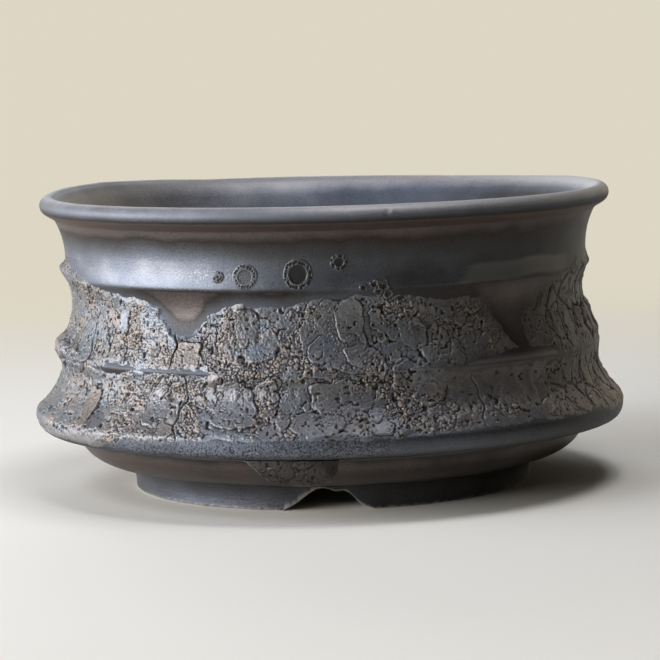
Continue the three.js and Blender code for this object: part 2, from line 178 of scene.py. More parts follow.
world = bpy.data.worlds.new("studio")
world.use_nodes = True
tree = world.node_tree
beyond = add_node(
    tree,
    "ShaderNodeMix",
    {
        "Factor": add_node(tree, "ShaderNodeLightPath", out="Is Camera Ray"),
        "A": linear(ROOM_TONE),
        "B": linear(EVEN_TONE),
    },
    "Result",
    data_type="RGBA",
)
tree.links.new(beyond, tree.nodes["Background"].inputs["Color"])
scene.world = world


# Foot ring: a ring of the dark stoneware under the pot, flared to meet the bowl and wiped round on the table.
# Three cloud-shaped notches, each with two lobes and a cusp, were cut through it while the clay was soft.
MM = 0.001
CREASE = 38
FOOT_HEIGHT = 8.5
FOOT_RADIUS = 69.6
FOOT_TOP_RADIUS = 72.0
FOOT_INNER_RADIUS = 59.6
FOOT_EDGE = 0.6
FLARE_PULL = (FOOT_RADIUS, 6.4)
SIDE_ROWS = 18
TOP_ROWS = 8
EDGE_ROWS = 6
UNDERSIDE_ROWS = 14


def bezier(points, count):
    """Points along a curve: every control point weighted by its Bernstein share of the way along."""
    points = np.asarray(points, float)
    share = np.linspace(0, 1, count)[:, None]
    last = len(points) - 1
    return sum(math.comb(last, k) * share**k * (1 - share) ** (last - k) * p for k, p in enumerate(points))


def turned(turn, radius, height):
    """Points of a turned surface: the radius swung round the axis by the turn, at its height."""
    angle = np.radians(turn)
    return np.stack(np.broadcast_arrays(radius * np.sin(angle), -radius * np.cos(angle), height), axis=-1)


def closed_grid(columns, rows):
    """Quads of a grid that closes both ways: each joins a point to the next column and the next row."""
    column, row = np.meshgrid(np.arange(columns), np.arange(rows), indexing="ij")
    next_column = (column + 1) % columns
    next_row = (row + 1) % rows
    corners = [(column, row), (next_column, row), (next_column, next_row), (column, next_row)]
    return np.stack([c * rows + r for c, r in corners], axis=-1).reshape(-1, 4)


def add_piece(name, points, faces, material, node, marks=None, crease=CREASE):
    """A mesh object that stands for a solid: points in mm, faces as arrays of polygons with equally many
    sides, and marks, which are named values by point."""
    mesh = bpy.data.meshes.new(name)
    points = points.reshape(-1, 3) * MM
    sides = np.concatenate([np.full(len(group), group.shape[1]) for group in faces])
    corners = np.concatenate([group.ravel() for group in faces])
    mesh.vertices.add(len(points))
    mesh.vertices.foreach_set("co", points.ravel().astype(np.float32))
    mesh.loops.add(len(corners))
    mesh.loops.foreach_set("vertex_index", corners.astype(np.int32))
    mesh.polygons.add(len(sides))
    mesh.polygons.foreach_set("loop_start", (np.cumsum(sides) - sides).astype(np.int32))
    mesh.update(calc_edges=True)
    mesh.shade_smooth()
    mesh.set_sharp_from_angle(angle=math.radians(crease))
    for mark, values in (marks or {}).items():
        layer = mesh.attributes.new(mark, "FLOAT", "POINT")
        layer.data.foreach_set("value", np.ravel(values).astype(np.float32))
    mesh.materials.append(material)
    piece = bpy.data.objects.new(name, mesh)
    scene.collection.objects.link(piece)
    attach(piece, "root")
    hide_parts(node)
    return piece


# Satin manganese stoneware: a thin dark glaze that dries matt to the touch with a soft metallic sheen. It is
# blue-grey where it lies thick and umber where it ran thin, over the fine lines left by the thrower's
# fingers. Those lines and the glaze's speckle are drawn as coarse as they need to be to show.
MOTTLE_SIZE = 14 * MM
SPECKLE_SIZE = 0.6 * MM
LINE_SPACING = 1.1 * MM
LINES_ROUND = 18.0
LINE_DEPTH = 0.1 * MM
SPECKLE_DEPTH = 0.12 * MM
BARE_CLAY_AND_HIGHLIGHT = "#b4afa8"
GLAZE_TONES = [
    (0.0, "#9a9794"),
    (0.3, "#595c62"),
    (0.55, "#414141"),
    (0.75, "#322c28"),
    (0.92, "#524b47"),
    (1.0, "#574b44"),
]
stoneware = bpy.data.materials.new("satin_manganese_stoneware")
stoneware.use_nodes = True
tree = stoneware.node_tree
shader = tree.nodes["Principled BSDF"]
place = add_node(tree, "ShaderNodeTexCoord", out="Object")
# The thinness mark also carries painted light: painted shade toward the right, a painted highlight on the
# neck at the left, and the rim roll painted lighter on top and darker underneath.
mark = {
    name: add_node(tree, "ShaderNodeAttribute", out="Fac", attribute_name=name)
    for name in ("thin_and_light", "wear_and_highlight", "dry", "painted_glints", "speck")
}
mottle = add_node(
    tree, "ShaderNodeTexNoise", {"Vector": place, "Scale": 1 / MOTTLE_SIZE, "Detail": 5.0}, "Fac"
)
speckle = add_node(
    tree, "ShaderNodeTexNoise", {"Vector": place, "Scale": 1 / SPECKLE_SIZE, "Detail": 2.0}, "Fac"
)
uneven = add_node(
    tree,
    "ShaderNodeMapRange",
    {"Value": mottle, "From Min": 0.25, "From Max": 0.75, "To Min": 0.42, "To Max": 0.58},
    "Result",
)
thinness_and_light = add_node(tree, "ShaderNodeMath", {0: mark["thin_and_light"], 1: uneven}, "Value", operation="ADD")
tone = add_node(tree, "ShaderNodeValToRGB", {"Fac": thinness_and_light}, "Color", GLAZE_TONES)
speck_depth = add_node(
    tree, "ShaderNodeMath", {0: mark["speck"], 1: 3.2, 2: 1.1}, "Value", operation="MULTIPLY_ADD"
)
speck_tone = add_node(tree, "ShaderNodeMath", {0: speckle, 1: 0.5}, "Value", operation="SUBTRACT")
grainy_tone = add_node(
    tree, "ShaderNodeMath", {0: speck_tone, 1: speck_depth, 2: 1.0}, "Value", operation="MULTIPLY_ADD"
)
grained = add_node(
    tree, "ShaderNodeVectorMath", {0: tone, "Scale": grainy_tone}, "Vector", operation="SCALE"
)
fleck = add_node(
    tree,
    "ShaderNodeMapRange",
    {"Value": speckle, "From Min": 0.5, "From Max": 0.7},
    "Result",
    interpolation_type="SMOOTHSTEP",
)
# Pale clay colour mixed in for wear, and for the painted highlights on the ridges and the rim's front and the
# painted glints low on the neck.
painted_glint_flecks = add_node(tree, "ShaderNodeMath", {0: mark["painted_glints"], 1: fleck}, "Value", operation="MULTIPLY")
pale = add_node(tree, "ShaderNodeMath", {0: mark["wear_and_highlight"], 1: painted_glint_flecks}, "Value", operation="MAXIMUM")
worn_and_highlighted = add_node(
    tree,
    "ShaderNodeMix",
    {"Factor": pale, "A": grained, "B": linear(BARE_CLAY_AND_HIGHLIGHT)},
    "Result",
    data_type="RGBA",
)
sheen = add_node(
    tree,
    "ShaderNodeMapRange",
    {"Value": speckle, "From Min": 0.3, "From Max": 0.7, "To Min": 0.34, "To Max": 0.54},
    "Result",
)
satin = add_node(
    tree, "ShaderNodeMath", {0: mark["dry"], 1: 0.2, 2: sheen}, "Value", operation="MULTIPLY_ADD"
)
line_place = add_node(
    tree,
    "ShaderNodeMapping",
    {"Vector": place, "Scale": (LINES_ROUND, LINES_ROUND, 1 / LINE_SPACING)},
    "Vector",
)
lines = add_node(tree, "ShaderNodeTexNoise", {"Vector": line_place, "Scale": 1.0, "Detail": 3.0}, "Fac")
line_bump = add_node(
    tree, "ShaderNodeBump", {"Height": lines, "Strength": 0.3, "Distance": LINE_DEPTH}, "Normal"
)
speckle_bump = add_node(
    tree,
    "ShaderNodeBump",
    {"Height": speckle, "Strength": 0.6, "Distance": SPECKLE_DEPTH, "Normal": line_bump},
    "Normal",
)
for socket, value in (("Base Color", worn_and_highlighted), ("Roughness", satin), ("Normal", speckle_bump)):
    tree.links.new(value, shader.inputs[socket])
shader.inputs["Metallic"].default_value = 0.88
shader.inputs["IOR"].default_value = 1.6


def add_turned(node, points, marks):
    """A piece of the stoneware on a grid that closes round the pot and round its own section."""
    faces = [closed_grid(*points.shape[:2])]
    return add_piece(node + "_clay", points, faces, stoneware, node, marks)


# The notch's outline, as distance aside and height of the cut, and how far its corners are softened
NOTCH_TURNS = np.array([-3.3, 116.7, -123.3])
NOTCH_OUTLINE = [
    (-12.8, 0), (-8.5, 2.4), (-4.2, 5.7), (-1.6, 7.3), (0.9, 7.7), (3.0, 7.1), (4.6, 6.4), (5.8, 6.5),
    (7.2, 6.8), (8.8, 6.2), (10.4, 4.8), (12.2, 2.6), (14.5, 1.1), (17.6, 0),
]
NOTCH_SOFT = 7
NOTCH_POINTS = 305
NOTCH_COLUMNS = np.linspace(-13, 16.5, 150)
NO_NOTCH = 99.0


def read_off(table, at):
    """Value read off a table of pairs, straight between its rows."""
    places, values = np.array(table, float).T
    return np.interp(at, places, values)


def softened(values, reach):
    """A running mean over a number of points each way, with the ends carried on straight."""
    before = 2 * values[0] - values[reach:0:-1]
    after = 2 * values[-1] - values[-2 : -reach - 2 : -1]
    long = np.concatenate([before, values, after])
    return np.convolve(long, np.full(2 * reach + 1, 1 / (2 * reach + 1)), mode="valid")


notch_aside = np.linspace(NOTCH_OUTLINE[0][0], NOTCH_OUTLINE[-1][0], NOTCH_POINTS)
notch_side = softened(read_off(NOTCH_OUTLINE, notch_aside), NOTCH_SOFT)


def notch_height(turn, radius):
    """Height of the cut above the table: the cloud's outline at the distance aside from the middle of the
    nearest notch."""
    off = np.radians(turn[..., None] - NOTCH_TURNS)
    aside = np.where(np.cos(off) > 0, radius[..., None] * np.sin(off), NO_NOTCH)
    return np.interp(aside, notch_aside, notch_side, left=0, right=0).max(axis=-1)


def foot_rows(radius, cut_share, height):
    """Rows of the ring's section: a radius, the share of the notch's height added to it, and a height."""
    return np.column_stack(np.broadcast_arrays(radius, cut_share, height))


def bell(values, middle, half):
    """A bell curve: one at the middle, and 1/e at the half-width on both sides of it."""
    return np.exp(-(((values - middle) / half) ** 2))


def shaded_toward_right(thin_and_light, turn):
    """The glaze's thinness round the pot, with painted shade: as given at the left, and toward the right ever
    more even and dark, as shade painted on the side away from the window lamp."""
    shaded_thin = 0.27
    return thin_and_light + (shaded_thin - thin_and_light) * (0.35 + 0.35 * np.sin(np.radians(turn)))


near_notch = (NOTCH_TURNS[:, None] + NOTCH_COLUMNS).ravel()
all_turns = np.concatenate([np.arange(-180.0, 180), near_notch])
foot_turns = np.unique(np.round((all_turns + 180) % 360 - 180, 4))
foot_flare = bezier([(FOOT_RADIUS, FOOT_EDGE), FLARE_PULL, (FOOT_TOP_RADIUS, FOOT_HEIGHT)], 40)
side = np.linspace(0, 1, SIDE_ROWS)
side_height = FOOT_HEIGHT - FOOT_EDGE
arc = np.linspace(0, np.pi / 2, EDGE_ROWS)[1:-1]
top_radius = np.linspace(FOOT_TOP_RADIUS, FOOT_INNER_RADIUS, TOP_ROWS)[1:-1]
under_radius = np.linspace(FOOT_INNER_RADIUS + FOOT_EDGE, FOOT_RADIUS - FOOT_EDGE, UNDERSIDE_ROWS)
foot_section = np.concatenate(
    [
        foot_rows(FOOT_RADIUS, 1 - side, FOOT_EDGE + side * side_height),
        foot_rows(top_radius, 0, FOOT_HEIGHT),
        foot_rows(FOOT_INNER_RADIUS, side, FOOT_EDGE + (1 - side) * side_height),
        foot_rows(FOOT_INNER_RADIUS + FOOT_EDGE * (1 - np.cos(arc)), 1, FOOT_EDGE * (1 - np.sin(arc))),
        foot_rows(under_radius, 1, 0),
        foot_rows(FOOT_RADIUS - FOOT_EDGE * (1 - np.sin(arc)), 1, FOOT_EDGE * (1 - np.cos(arc))),
    ]
)
row_radius, cut_share, row_height = foot_section.T
turn_grid, radius_grid = np.meshgrid(foot_turns, row_radius, indexing="ij")
height_grid = cut_share * notch_height(turn_grid, radius_grid) + row_height
flared = np.interp(height_grid, foot_flare[:, 1], foot_flare[:, 0])
on_outside = np.arange(len(foot_section)) < SIDE_ROWS
radius_grid = np.where(on_outside, flared, radius_grid)

# The glaze is wiped off along the lower edge, by a width that varies, and widest left of the front notch
CHIP_COUNT = 900
chips = np.random.default_rng(8).random(CHIP_COUNT)
chip_turns = np.linspace(-180, 180, CHIP_COUNT + 1)
chipped = np.interp(foot_turns, chip_turns, np.append(chips, chips[0]))[:, None]
cut_height = notch_height(turn_grid, np.full_like(turn_grid, FOOT_RADIUS))
left_of_notch = (np.abs(turn_grid - NOTCH_TURNS[0] + 6) < 6) & (cut_height > 0.1)
wiped_width = np.where(left_of_notch, 0.5 + 1.3 * chipped, 0.25 + 0.5 * chipped)
wiped = bell(height_grid, cut_height, wiped_width) * np.where(on_outside, 0.8, cut_share)
bare = np.where((row_radius < FOOT_INNER_RADIUS + 0.5) & (row_height > 0), 0.9, 0.0)
# Its glaze darkens toward the right: painted shade.
add_turned(
    "foot_ring",
    turned(turn_grid, radius_grid, height_grid),
    {"thin_and_light": shaded_toward_right(-0.1, turn_grid), "wear_and_highlight": np.maximum(wiped, bare)},
)


# Base bowl: a low thrown ring of the same clay, full on the outside, luted on the foot ring with slip.
# Its flat top carries the wall, and a hollow fillet inside runs down to the floor.
BOWL_COLUMNS = 360
BOWL_FOOT = (72.0, 8.8)
BOWL_SHOULDER = (89.5, 20.0)
BOWL_SEAT = (81.5, 20.3)
BOWL_FILLET = (64.4, 15.83)
BOWL_LEDGE = (65.6, 15.8)
BOWL_INNER_FOOT = (65.6, 8.8)
BOWL_THIN = [(8.8, 0.15), (11, 0.4), (17, 0.5), (20, 0.2)]
BOWL_INSIDE_THIN = -0.05


def even_steps(line, step):
    """The same line with its points spaced evenly, by the distance run along it."""
    line = np.asarray(line, float)
    run = np.concatenate([[0], np.cumsum(np.hypot(*np.diff(line, axis=0).T))])
    at = np.linspace(0, run[-1], max(2, round(run[-1] / step) + 1))
    return np.column_stack([np.interp(at, run, line[:, 0]), np.interp(at, run, line[:, 1])])


bowl_curve = bezier([BOWL_FOOT, (80.4, 9.25), (88.1, 12.5), BOWL_SHOULDER], 60)
bowl_section = np.concatenate(
    [
        even_steps([BOWL_INNER_FOOT, BOWL_FOOT], 1.5)[:-1],
        even_steps(bowl_curve, 0.6)[:-1],
        even_steps([BOWL_SHOULDER, BOWL_SEAT], 1.5)[:-1],
        even_steps(bezier([BOWL_SEAT, (77.6, 15.9), BOWL_FILLET], 40), 1.0)[:-1],
        even_steps([BOWL_FILLET, BOWL_LEDGE, BOWL_INNER_FOOT], 1.2)[:-1],
    ]
)
bowl_turns = np.linspace(-180, 180, BOWL_COLUMNS, endpoint=False)[:, None]
on_bowl_outside = np.cumsum(bowl_section[:, 1] >= BOWL_SHOULDER[1]) == 0
# The bowl's outside darkens toward the right: painted shade.
outside_thin_and_shade = shaded_toward_right(read_off(BOWL_THIN, bowl_section[:, 1]), bowl_turns)
add_turned(
    "base_bowl",
    turned(bowl_turns, bowl_section[:, 0], bowl_section[:, 1]),
    {"thin_and_light": np.where(on_bowl_outside, outside_thin_and_shade, BOWL_INSIDE_THIN)},
)


# Floor: a rolled slab of the same clay let into the bowl, pierced with a drain hole and four holes for tie
# wire. The edges of the holes were rounded with a wet finger, so the slab's own solid is copied and bevelled.
WELD_GAP = 0.00002
FLOOR_ROUNDING = 0.0009
FLOOR_ROUNDING_STEPS = 3
FLOOR_EDGE_ANGLE = 40
floor_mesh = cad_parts["floor_slab"].data.copy()
floor_mesh.name = "floor_slab_clay"
floor_piece = bpy.data.objects.new("floor_slab_clay", floor_mesh)
scene.collection.objects.link(floor_piece)
weld = floor_piece.modifiers.new("weld", "WELD")
weld.merge_threshold = WELD_GAP
rounding = floor_piece.modifiers.new("rounded_edges", "BEVEL")
rounding.width = FLOOR_ROUNDING
rounding.segments = FLOOR_ROUNDING_STEPS
rounding.angle_limit = math.radians(FLOOR_EDGE_ANGLE)
floor_mesh.materials.clear()
floor_mesh.materials.append(stoneware)
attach(floor_piece, "root")
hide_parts("floor_slab")


# Body wall: the thrown wall, from the skirt's rounded nose through two hollow belts between ridges to the
# neck. It stands on the bowl's flat top, and its ridges were left by the edge of a throwing rib.
WALL_COLUMNS = 440
WALL_STEP = 0.62
PROFILE_STEP = 0.1
ARRIS = 7
CLIMB_SOFT = 25
CURVE_POINTS = 200
SKIRT_FOOT = (100.96, 22.0)
SKIRT_TOP = (102.94, 28.6)
MIDDLE_RIDGE = (95.4, 48.5)
UPPER_RIDGE = (92.0, 75.5)
NECK_TOP = (95.8, 96.0)
NECK_INNER = (89.6, 96.0)
WALL_SEAT = (89.5, 20.3)
INSIDE_POINTS = [
    NECK_INNER, (86.2, 89.5), (85.0, 82.5), (85.8, 75.5), (82.3, 66.5), (88.3, 48.5), (87.4, 42.5),
    (90.6, 28.6), BOWL_SEAT,
]
INSIDE_STEP = 0.25
INSIDE_SOFT = 14
INSIDE_STRIDE = 5

# How far the rim leans to the left, and how far it stands above its level at a turn, both growing with height
NECK_LEAN = 0.6
LEAN_FROM = 45
LEAN_OVER = 35
RIM_WARP = [
    (-180, -0.5), (-152, 0), (-140, 1), (-122, 1.8), (-106, 1.4), (-90, 0.5), (-60, 0), (60, 0), (90, 0.4),
    (112, 0.4), (131, -0.4), (150, -0.8), (180, -0.5),
]
curves = [
    bezier([SKIRT_FOOT, (103.07, 22.4), (104.0, 26.62), SKIRT_TOP], CURVE_POINTS),
    bezier([SKIRT_TOP, (95.4, 35.96), (91.8, 42.53), MIDDLE_RIDGE], CURVE_POINTS),
    bezier([MIDDLE_RIDGE, (85.0, 66.5), UPPER_RIDGE], CURVE_POINTS),
    bezier([UPPER_RIDGE, (91.4, 80.0), (90.8, 88.0), NECK_TOP], CURVE_POINTS),
]
lengths = [np.hypot(*np.diff(curve, axis=0).T).sum() for curve in curves]
SKIRT_RUN, MIDDLE_RUN, UPPER_RUN, NECK_RUN = np.cumsum(lengths)
sharp_radius, sharp_height = even_steps(
    np.concatenate([curves[0], *[curve[1:] for curve in curves[1:]]]), PROFILE_STEP
).T
wall_run = np.linspace(0, NECK_RUN, len(sharp_radius))
wall_radius = softened(sharp_radius, ARRIS)
wall_height = softened(sharp_height, ARRIS)
wall_climb = np.arctan2(
    np.gradient(softened(sharp_height, CLIMB_SOFT)), np.gradient(softened(sharp_radius, CLIMB_SOFT))
)


def eased(values):
    """Zero below zero, one above one, and a smooth S between."""
    share = np.clip(values, 0, 1)
    return share * share * (3 - 2 * share)


def out_of_round(turn):
    """A hand-thrown ring's departure from a true circle: two slow waves round the pot."""
    angle = np.radians(turn)
    return 0.16 * np.sin(2 * angle + 0.7) + 0.09 * np.sin(3 * angle + 2.1)


def thrown(turn, radius, height):
    """A turned point as the hand left it: out of round, and toward the rim leaning left and out of level."""
    up = eased((height - LEAN_FROM) / LEAN_OVER)
    warp = read_off(RIM_WARP, (turn + 180) % 360 - 180)
    lean = NECK_LEAN * np.sin(np.radians(turn))
    return turned(turn, radius + out_of_round(turn) - lean * up, height + warp * up)


def off_profile(run, lift, runs, radii, heights, climbs):
    """Radius and height of a profile at a run, moved square to it by a lift."""
    climb = np.interp(run, runs, climbs)
    radius = np.interp(run, runs, radii) + lift * np.sin(climb)
    height = np.interp(run, runs, heights) - lift * np.cos(climb)
    return radius, height


def on_wall(turn, run, lift=0.0):
    """A point of the wall's outside: its profile at a run, lifted and swung to its turn by hand."""
    return thrown(turn, *off_profile(run, lift, wall_run, wall_radius, wall_height, wall_climb))


inside_line = even_steps(INSIDE_POINTS, INSIDE_STEP)
inside_line = np.column_stack([softened(values, INSIDE_SOFT) for values in inside_line.T])[::INSIDE_STRIDE]
rest_line = np.concatenate(
    [
        even_steps([NECK_TOP, NECK_INNER], 1.5)[1:-1],
        inside_line,
        even_steps([BOWL_SEAT, WALL_SEAT, SKIRT_FOOT], 1.2)[1:-1],
    ]
)
outside_runs = np.linspace(0, NECK_RUN, round(NECK_RUN / WALL_STEP) + 1)
wall_turns = np.linspace(-180, 180, WALL_COLUMNS, endpoint=False)[:, None]
wall_points = np.concatenate([on_wall(wall_turns, outside_runs), thrown(wall_turns, *rest_line.T)], axis=1)

# How thin the glaze is, by run: thick on the skirt and low on the neck, thin on the belts and under the rim
WALL_THIN = [
    (0, 0.1), (3, -0.5), (SKIRT_RUN, -0.35), (MIDDLE_RUN - 9, 0.35), (MIDDLE_RUN - 1, 0.45),
    (MIDDLE_RUN + 1, 0.1), (UPPER_RUN - 14, 0.42), (UPPER_RUN - 1, 0.42), (UPPER_RUN + 1, -0.25),
    (UPPER_RUN + 9, -0.23), (UPPER_RUN + 13.5, 0.03), (UPPER_RUN + 16.5, 0.25), (UPPER_RUN + 18.5, 0.45),
    (NECK_RUN, 0.55),
]
thin_outside = read_off(WALL_THIN, outside_runs)
thin_inside = np.broadcast_to(-0.2 + 0.3 * np.sin(np.radians(wall_turns)), (WALL_COLUMNS, len(rest_line)))
in_upper_belt = eased((outside_runs - MIDDLE_RUN - 2) / 2) * eased((UPPER_RUN - 1 - outside_runs) / 2)
# Toward the right the outside darkens, painted shade, less so on the upper belt.
wall_shaded_toward_right = shaded_toward_right(thin_outside, wall_turns)
wall_shaded_toward_right = wall_shaded_toward_right + (thin_outside - wall_shaded_toward_right) * 0.6 * in_upper_belt
# A paler patch on the neck at the left, where the window lamp's highlight falls: painted highlight.
painted_neck_highlight = 0.12 * bell(wall_turns, -34, 14) * bell(outside_runs, UPPER_RUN + 7, 6)
wall_thin_and_light = np.concatenate([wall_shaded_toward_right - painted_neck_highlight, thin_inside], axis=1)

# A patch of pale flecks low on the neck, painted glints; a specked skirt; and two pale bands over the ridges,
# right of the middle, painted highlights along them.
BAND_MIDDLE = 3.4
BAND_HALF = 2.6
BAND_HEIGHT = 6.6
painted_glint_patch = 0.5 * bell(wall_turns, -26, 7) * bell(outside_runs, UPPER_RUN + 4.5, 2.8)
specked_skirt = eased((SKIRT_RUN + 1 - outside_runs) / 2)
specked_skirt = specked_skirt * eased((14 - wall_turns) / 8) * eased((wall_turns + 80) / 12)
# Painted highlights along the ridges right of the middle: a band over the upper ridge and one over the middle
# ridge.
band_wave = 0.3 * np.sin(np.radians(9 * wall_turns)) + 0.25 * np.sin(np.radians(23 * wall_turns + 40))
band_rise = outside_runs - UPPER_RUN - band_wave
band = eased(band_rise / 1.4) * eased((BAND_HEIGHT - band_rise) / 1.6)
band_edge = bell(np.abs(band_rise - BAND_MIDDLE), BAND_HALF, 0.6) * (0.75 + band_wave)
low_band = bell(outside_runs, MIDDLE_RUN + 1.2, 1.2)
streak = (0.17 + 0.06 * band_wave) * band + 0.08 * band_edge
streak = streak * eased((wall_turns - 26 - 0.5 * band_rise) / 3.5)
streak = streak + 0.25 * eased((wall_turns - 22) / 5) * low_band
painted_ridge_highlight = eased((66 - wall_turns) / 8) * streak
plain_inside = np.zeros((WALL_COLUMNS, len(rest_line)))
wall_marks = {"painted_glints": painted_glint_patch, "speck": specked_skirt, "wear_and_highlight": painted_ridge_highlight}
wall_marks = {name: np.concatenate([values, plain_inside], axis=1) for name, values in wall_marks.items()}
wall_piece = add_turned("body_wall", wall_points, {"thin_and_light": wall_thin_and_light, **wall_marks})


# Rim roll: a bead of the same clay folded over the top of the neck, with a tight fillet under its outer side.
# It was smoothed with a wet leather, which left a pit and a small fold in it.
RIM_COLUMNS = 840
ROLL_CENTRE = np.array([96.85, 99.65])
ROLL_RADIUS = 3.15
# The roll's thinness by height paints it lighter toward its top and darker underneath: painted light and
# shade.
ROLL_LIGHT_AND_SHADE = [(97.3, 0.45), (98.2, 0.1), (99.4, -0.15), (100.6, -0.4), (102.8, -0.65)]
FILLET_FOOT = (94.75, 94.3)
FILLET_THIN = 0.5
roll_arc = np.radians(np.linspace(-48, 128, 40))
roll = ROLL_CENTRE + ROLL_RADIUS * np.column_stack([np.cos(roll_arc), np.sin(roll_arc)])
rim_seat = even_steps([NECK_INNER, (93.6, 96.0), (93.6, 94.3), FILLET_FOOT], 0.8)[:-1]
rim_fillet = even_steps(bezier([FILLET_FOOT, (95.5, 95.5), (97.8, 96.15), roll[0]], 30), 0.35)[:-1]
rim_inside = even_steps(bezier([roll[-1], (92.4, 101.2), NECK_INNER], 40), 0.4)[1:-1]
rim_section = np.concatenate([rim_seat, rim_fillet, roll, rim_inside])
rim_turns = np.linspace(-180, 180, RIM_COLUMNS, endpoint=False)[:, None]

# Marks of the hand on the roll, as turn, angle on the roll, half-width, half-height and lift
RIM_MARKS = [(-83.0, 0, 0.9, 1.3, -0.8), (11.2, 12, 0.9, 0.9, -0.35), (12.2, 18, 0.7, 0.9, 0.4)]
from_centre = rim_section - ROLL_CENTRE
roll_angle = np.arctan2(from_centre[:, 1], from_centre[:, 0])
rim_lift = np.zeros((RIM_COLUMNS, len(rim_section)))
for turn, angle, wide, high, lift in RIM_MARKS:
    aside = np.radians(rim_turns - turn) * (ROLL_CENTRE[0] + ROLL_RADIUS) / wide
    up = (roll_angle - math.radians(angle)) * ROLL_RADIUS / high
    rim_lift += lift * np.exp(-(aside**2) - up**2)
rim_radius = rim_section[:, 0] + rim_lift * np.cos(roll_angle)
rim_height = rim_section[:, 1] + rim_lift * np.sin(roll_angle)
rim_thin_and_light = np.concatenate(
    [
        np.linspace(-0.2, 0.7, len(rim_seat)),
        np.full(len(rim_fillet), FILLET_THIN),
        read_off(ROLL_LIGHT_AND_SHADE, roll[:, 1]),
        np.linspace(-0.6, -0.2, len(rim_inside)),
    ]
)
down_inside = np.concatenate(
    [
        np.linspace(1, 0, len(rim_seat)),
        np.zeros(len(rim_fillet) + len(roll)),
        np.linspace(0, 1, len(rim_inside)),
    ]
)
on_roll = np.clip((from_centre[:, 1] + 1) / 2, 0, 1) * (1 - down_inside)
rim_thin_and_light = rim_thin_and_light + 0.3 * down_inside * np.sin(np.radians(rim_turns))
# The roll is darker at the left: painted shade that tempers the window lamp's highlight there.
rim_thin_and_light = rim_thin_and_light + 0.25 * on_roll * eased((14 - rim_turns) / 30) * eased((rim_turns + 150) / 30)
rim_dry = np.broadcast_to(1.0 - 0.65 * down_inside, rim_lift.shape)
# Pale wear on the roll, with a brighter stretch at the front that is a painted highlight.
rim_wear_and_highlight = on_roll * (0.1 + 0.12 * bell(rim_turns, 8, 22))
add_turned(
    "rim_roll",
    thrown(rim_turns, rim_radius, rim_height),
    {"thin_and_light": rim_thin_and_light, "dry": rim_dry, "wear_and_highlight": rim_wear_and_highlight},
)


# Crust on the belts: slip thick with grog, dabbed and splashed on the leather-hard wall. It dried into
# overlapping drops and plates, with fields of coarse grains, burst bubbles, pits and cracks, and clings in
# the two hollow belts.
SLIP_STEP = 0.225
SLIP_COLUMNS = 2664
SLIP_GIRTH = SLIP_COLUMNS * SLIP_STEP
BELOW_RIDGE = 136
ABOVE_RIDGE = 160
SLIP_ROWS = BELOW_RIDGE + ABOVE_RIDGE + 1
BACK_TURN = 115
TUCK = 0.7
slip_turns = (np.arange(SLIP_COLUMNS) / SLIP_COLUMNS - 0.5) * 360
slip_rise = (np.arange(SLIP_ROWS) - BELOW_RIDGE) * SLIP_STEP
dice = np.random.default_rng(11)


def cloud(cell, seed):
    """Soft noise from 0 to 1: random numbers on a lattice that closes round the pot, with cells of so many
    mm, eased between its points."""
    across = round(SLIP_GIRTH / cell)
    column = np.arange(SLIP_COLUMNS) * across / SLIP_COLUMNS
    row = np.arange(SLIP_ROWS) * SLIP_STEP / cell
    lattice = np.random.default_rng(seed).random((across, int(row[-1]) + 2))
    c = column.astype(int)
    r = row.astype(int)
    near = lattice[c]
    far = lattice[(c + 1) % across]
    blend = near + (far - near) * eased(column - c)[:, None]
    return blend[:, r] + (blend[:, r + 1] - blend[:, r]) * eased(row - r)


def crumbs(cell, seed, stretch=1.0):
    """Angular lumps: one point at random in each cell of a lattice that closes round the pot, seen through
    a warp. Gives how much farther the second nearest point is than the nearest, and the nearest point's own
    random number."""
    across = round(SLIP_GIRTH / cell)
    sway = 0.5 * (cloud(1.3 * cell, seed + 50) - 0.5)
    nod = 0.5 * (cloud(1.3 * cell, seed + 70) - 0.5)
    column = (np.arange(SLIP_COLUMNS) * across / SLIP_COLUMNS)[:, None] + sway
    row = (np.arange(SLIP_ROWS) * SLIP_STEP / cell / stretch)[None, :] + 2 + nod
    first_column = np.floor(column).astype(int)
    first_row = np.floor(row).astype(int)
    jitter = np.random.default_rng(seed).random((3, across, first_row.max() + 2))
    far_off = 9.0
    nearest = np.full((SLIP_COLUMNS, SLIP_ROWS), far_off)
    second = nearest.copy()
    own = np.zeros_like(nearest)
    for across_step in (-1, 0, 1):
        for up_step in (-1, 0, 1):
            c = first_column + across_step
            r = first_row + up_step
            dx, dy, number = jitter[:, c % across, r]
            gap = np.hypot(c + dx - column, r + dy - row)
            second = np.minimum(second, np.maximum(nearest, gap))
            own = np.where(gap < nearest, number, own)
            nearest = np.minimum(nearest, gap)
    return second - nearest, own


def between(low, high, soft):
    """One between two turns and zero outside them, eased over some degrees at each end."""
    return eased((slip_turns[:, None] - low) / soft) * eased((high - slip_turns[:, None]) / soft)


def above(rise, soft):
    """Zero up to a rise and one from some mm above it, eased between."""
    return eased((slip_rise - rise) / soft)


def below(rise, soft):
    """Zero down to a rise and one from some mm below it, eased between."""
    return eased((rise - slip_rise) / soft)


# Fields over the belts: the slip's height in mm, how far a film of glaze lies on it, how far tan grains come
# through, and how calm it is kept, free of small drops
left = between(-BACK_TURN, -42, 12)
right = between(16, BACK_TURN, 12)
far_right = between(46, BACK_TURN, 6)
slip_height = 0.4 + 0.25 * cloud(8, 1) + 0.1 * cloud(2.2, 2)
slip_film = np.full_like(slip_height, 0.7)
slip_tan_and_highlight = np.zeros_like(slip_height)
slip_calm = np.zeros_like(slip_height)
broken = eased((cloud(3.5, 7) - 0.35) / 0.2)
ragged = cloud(1.6, 3) + 0.6 * cloud(0.7, 6) - 0.8

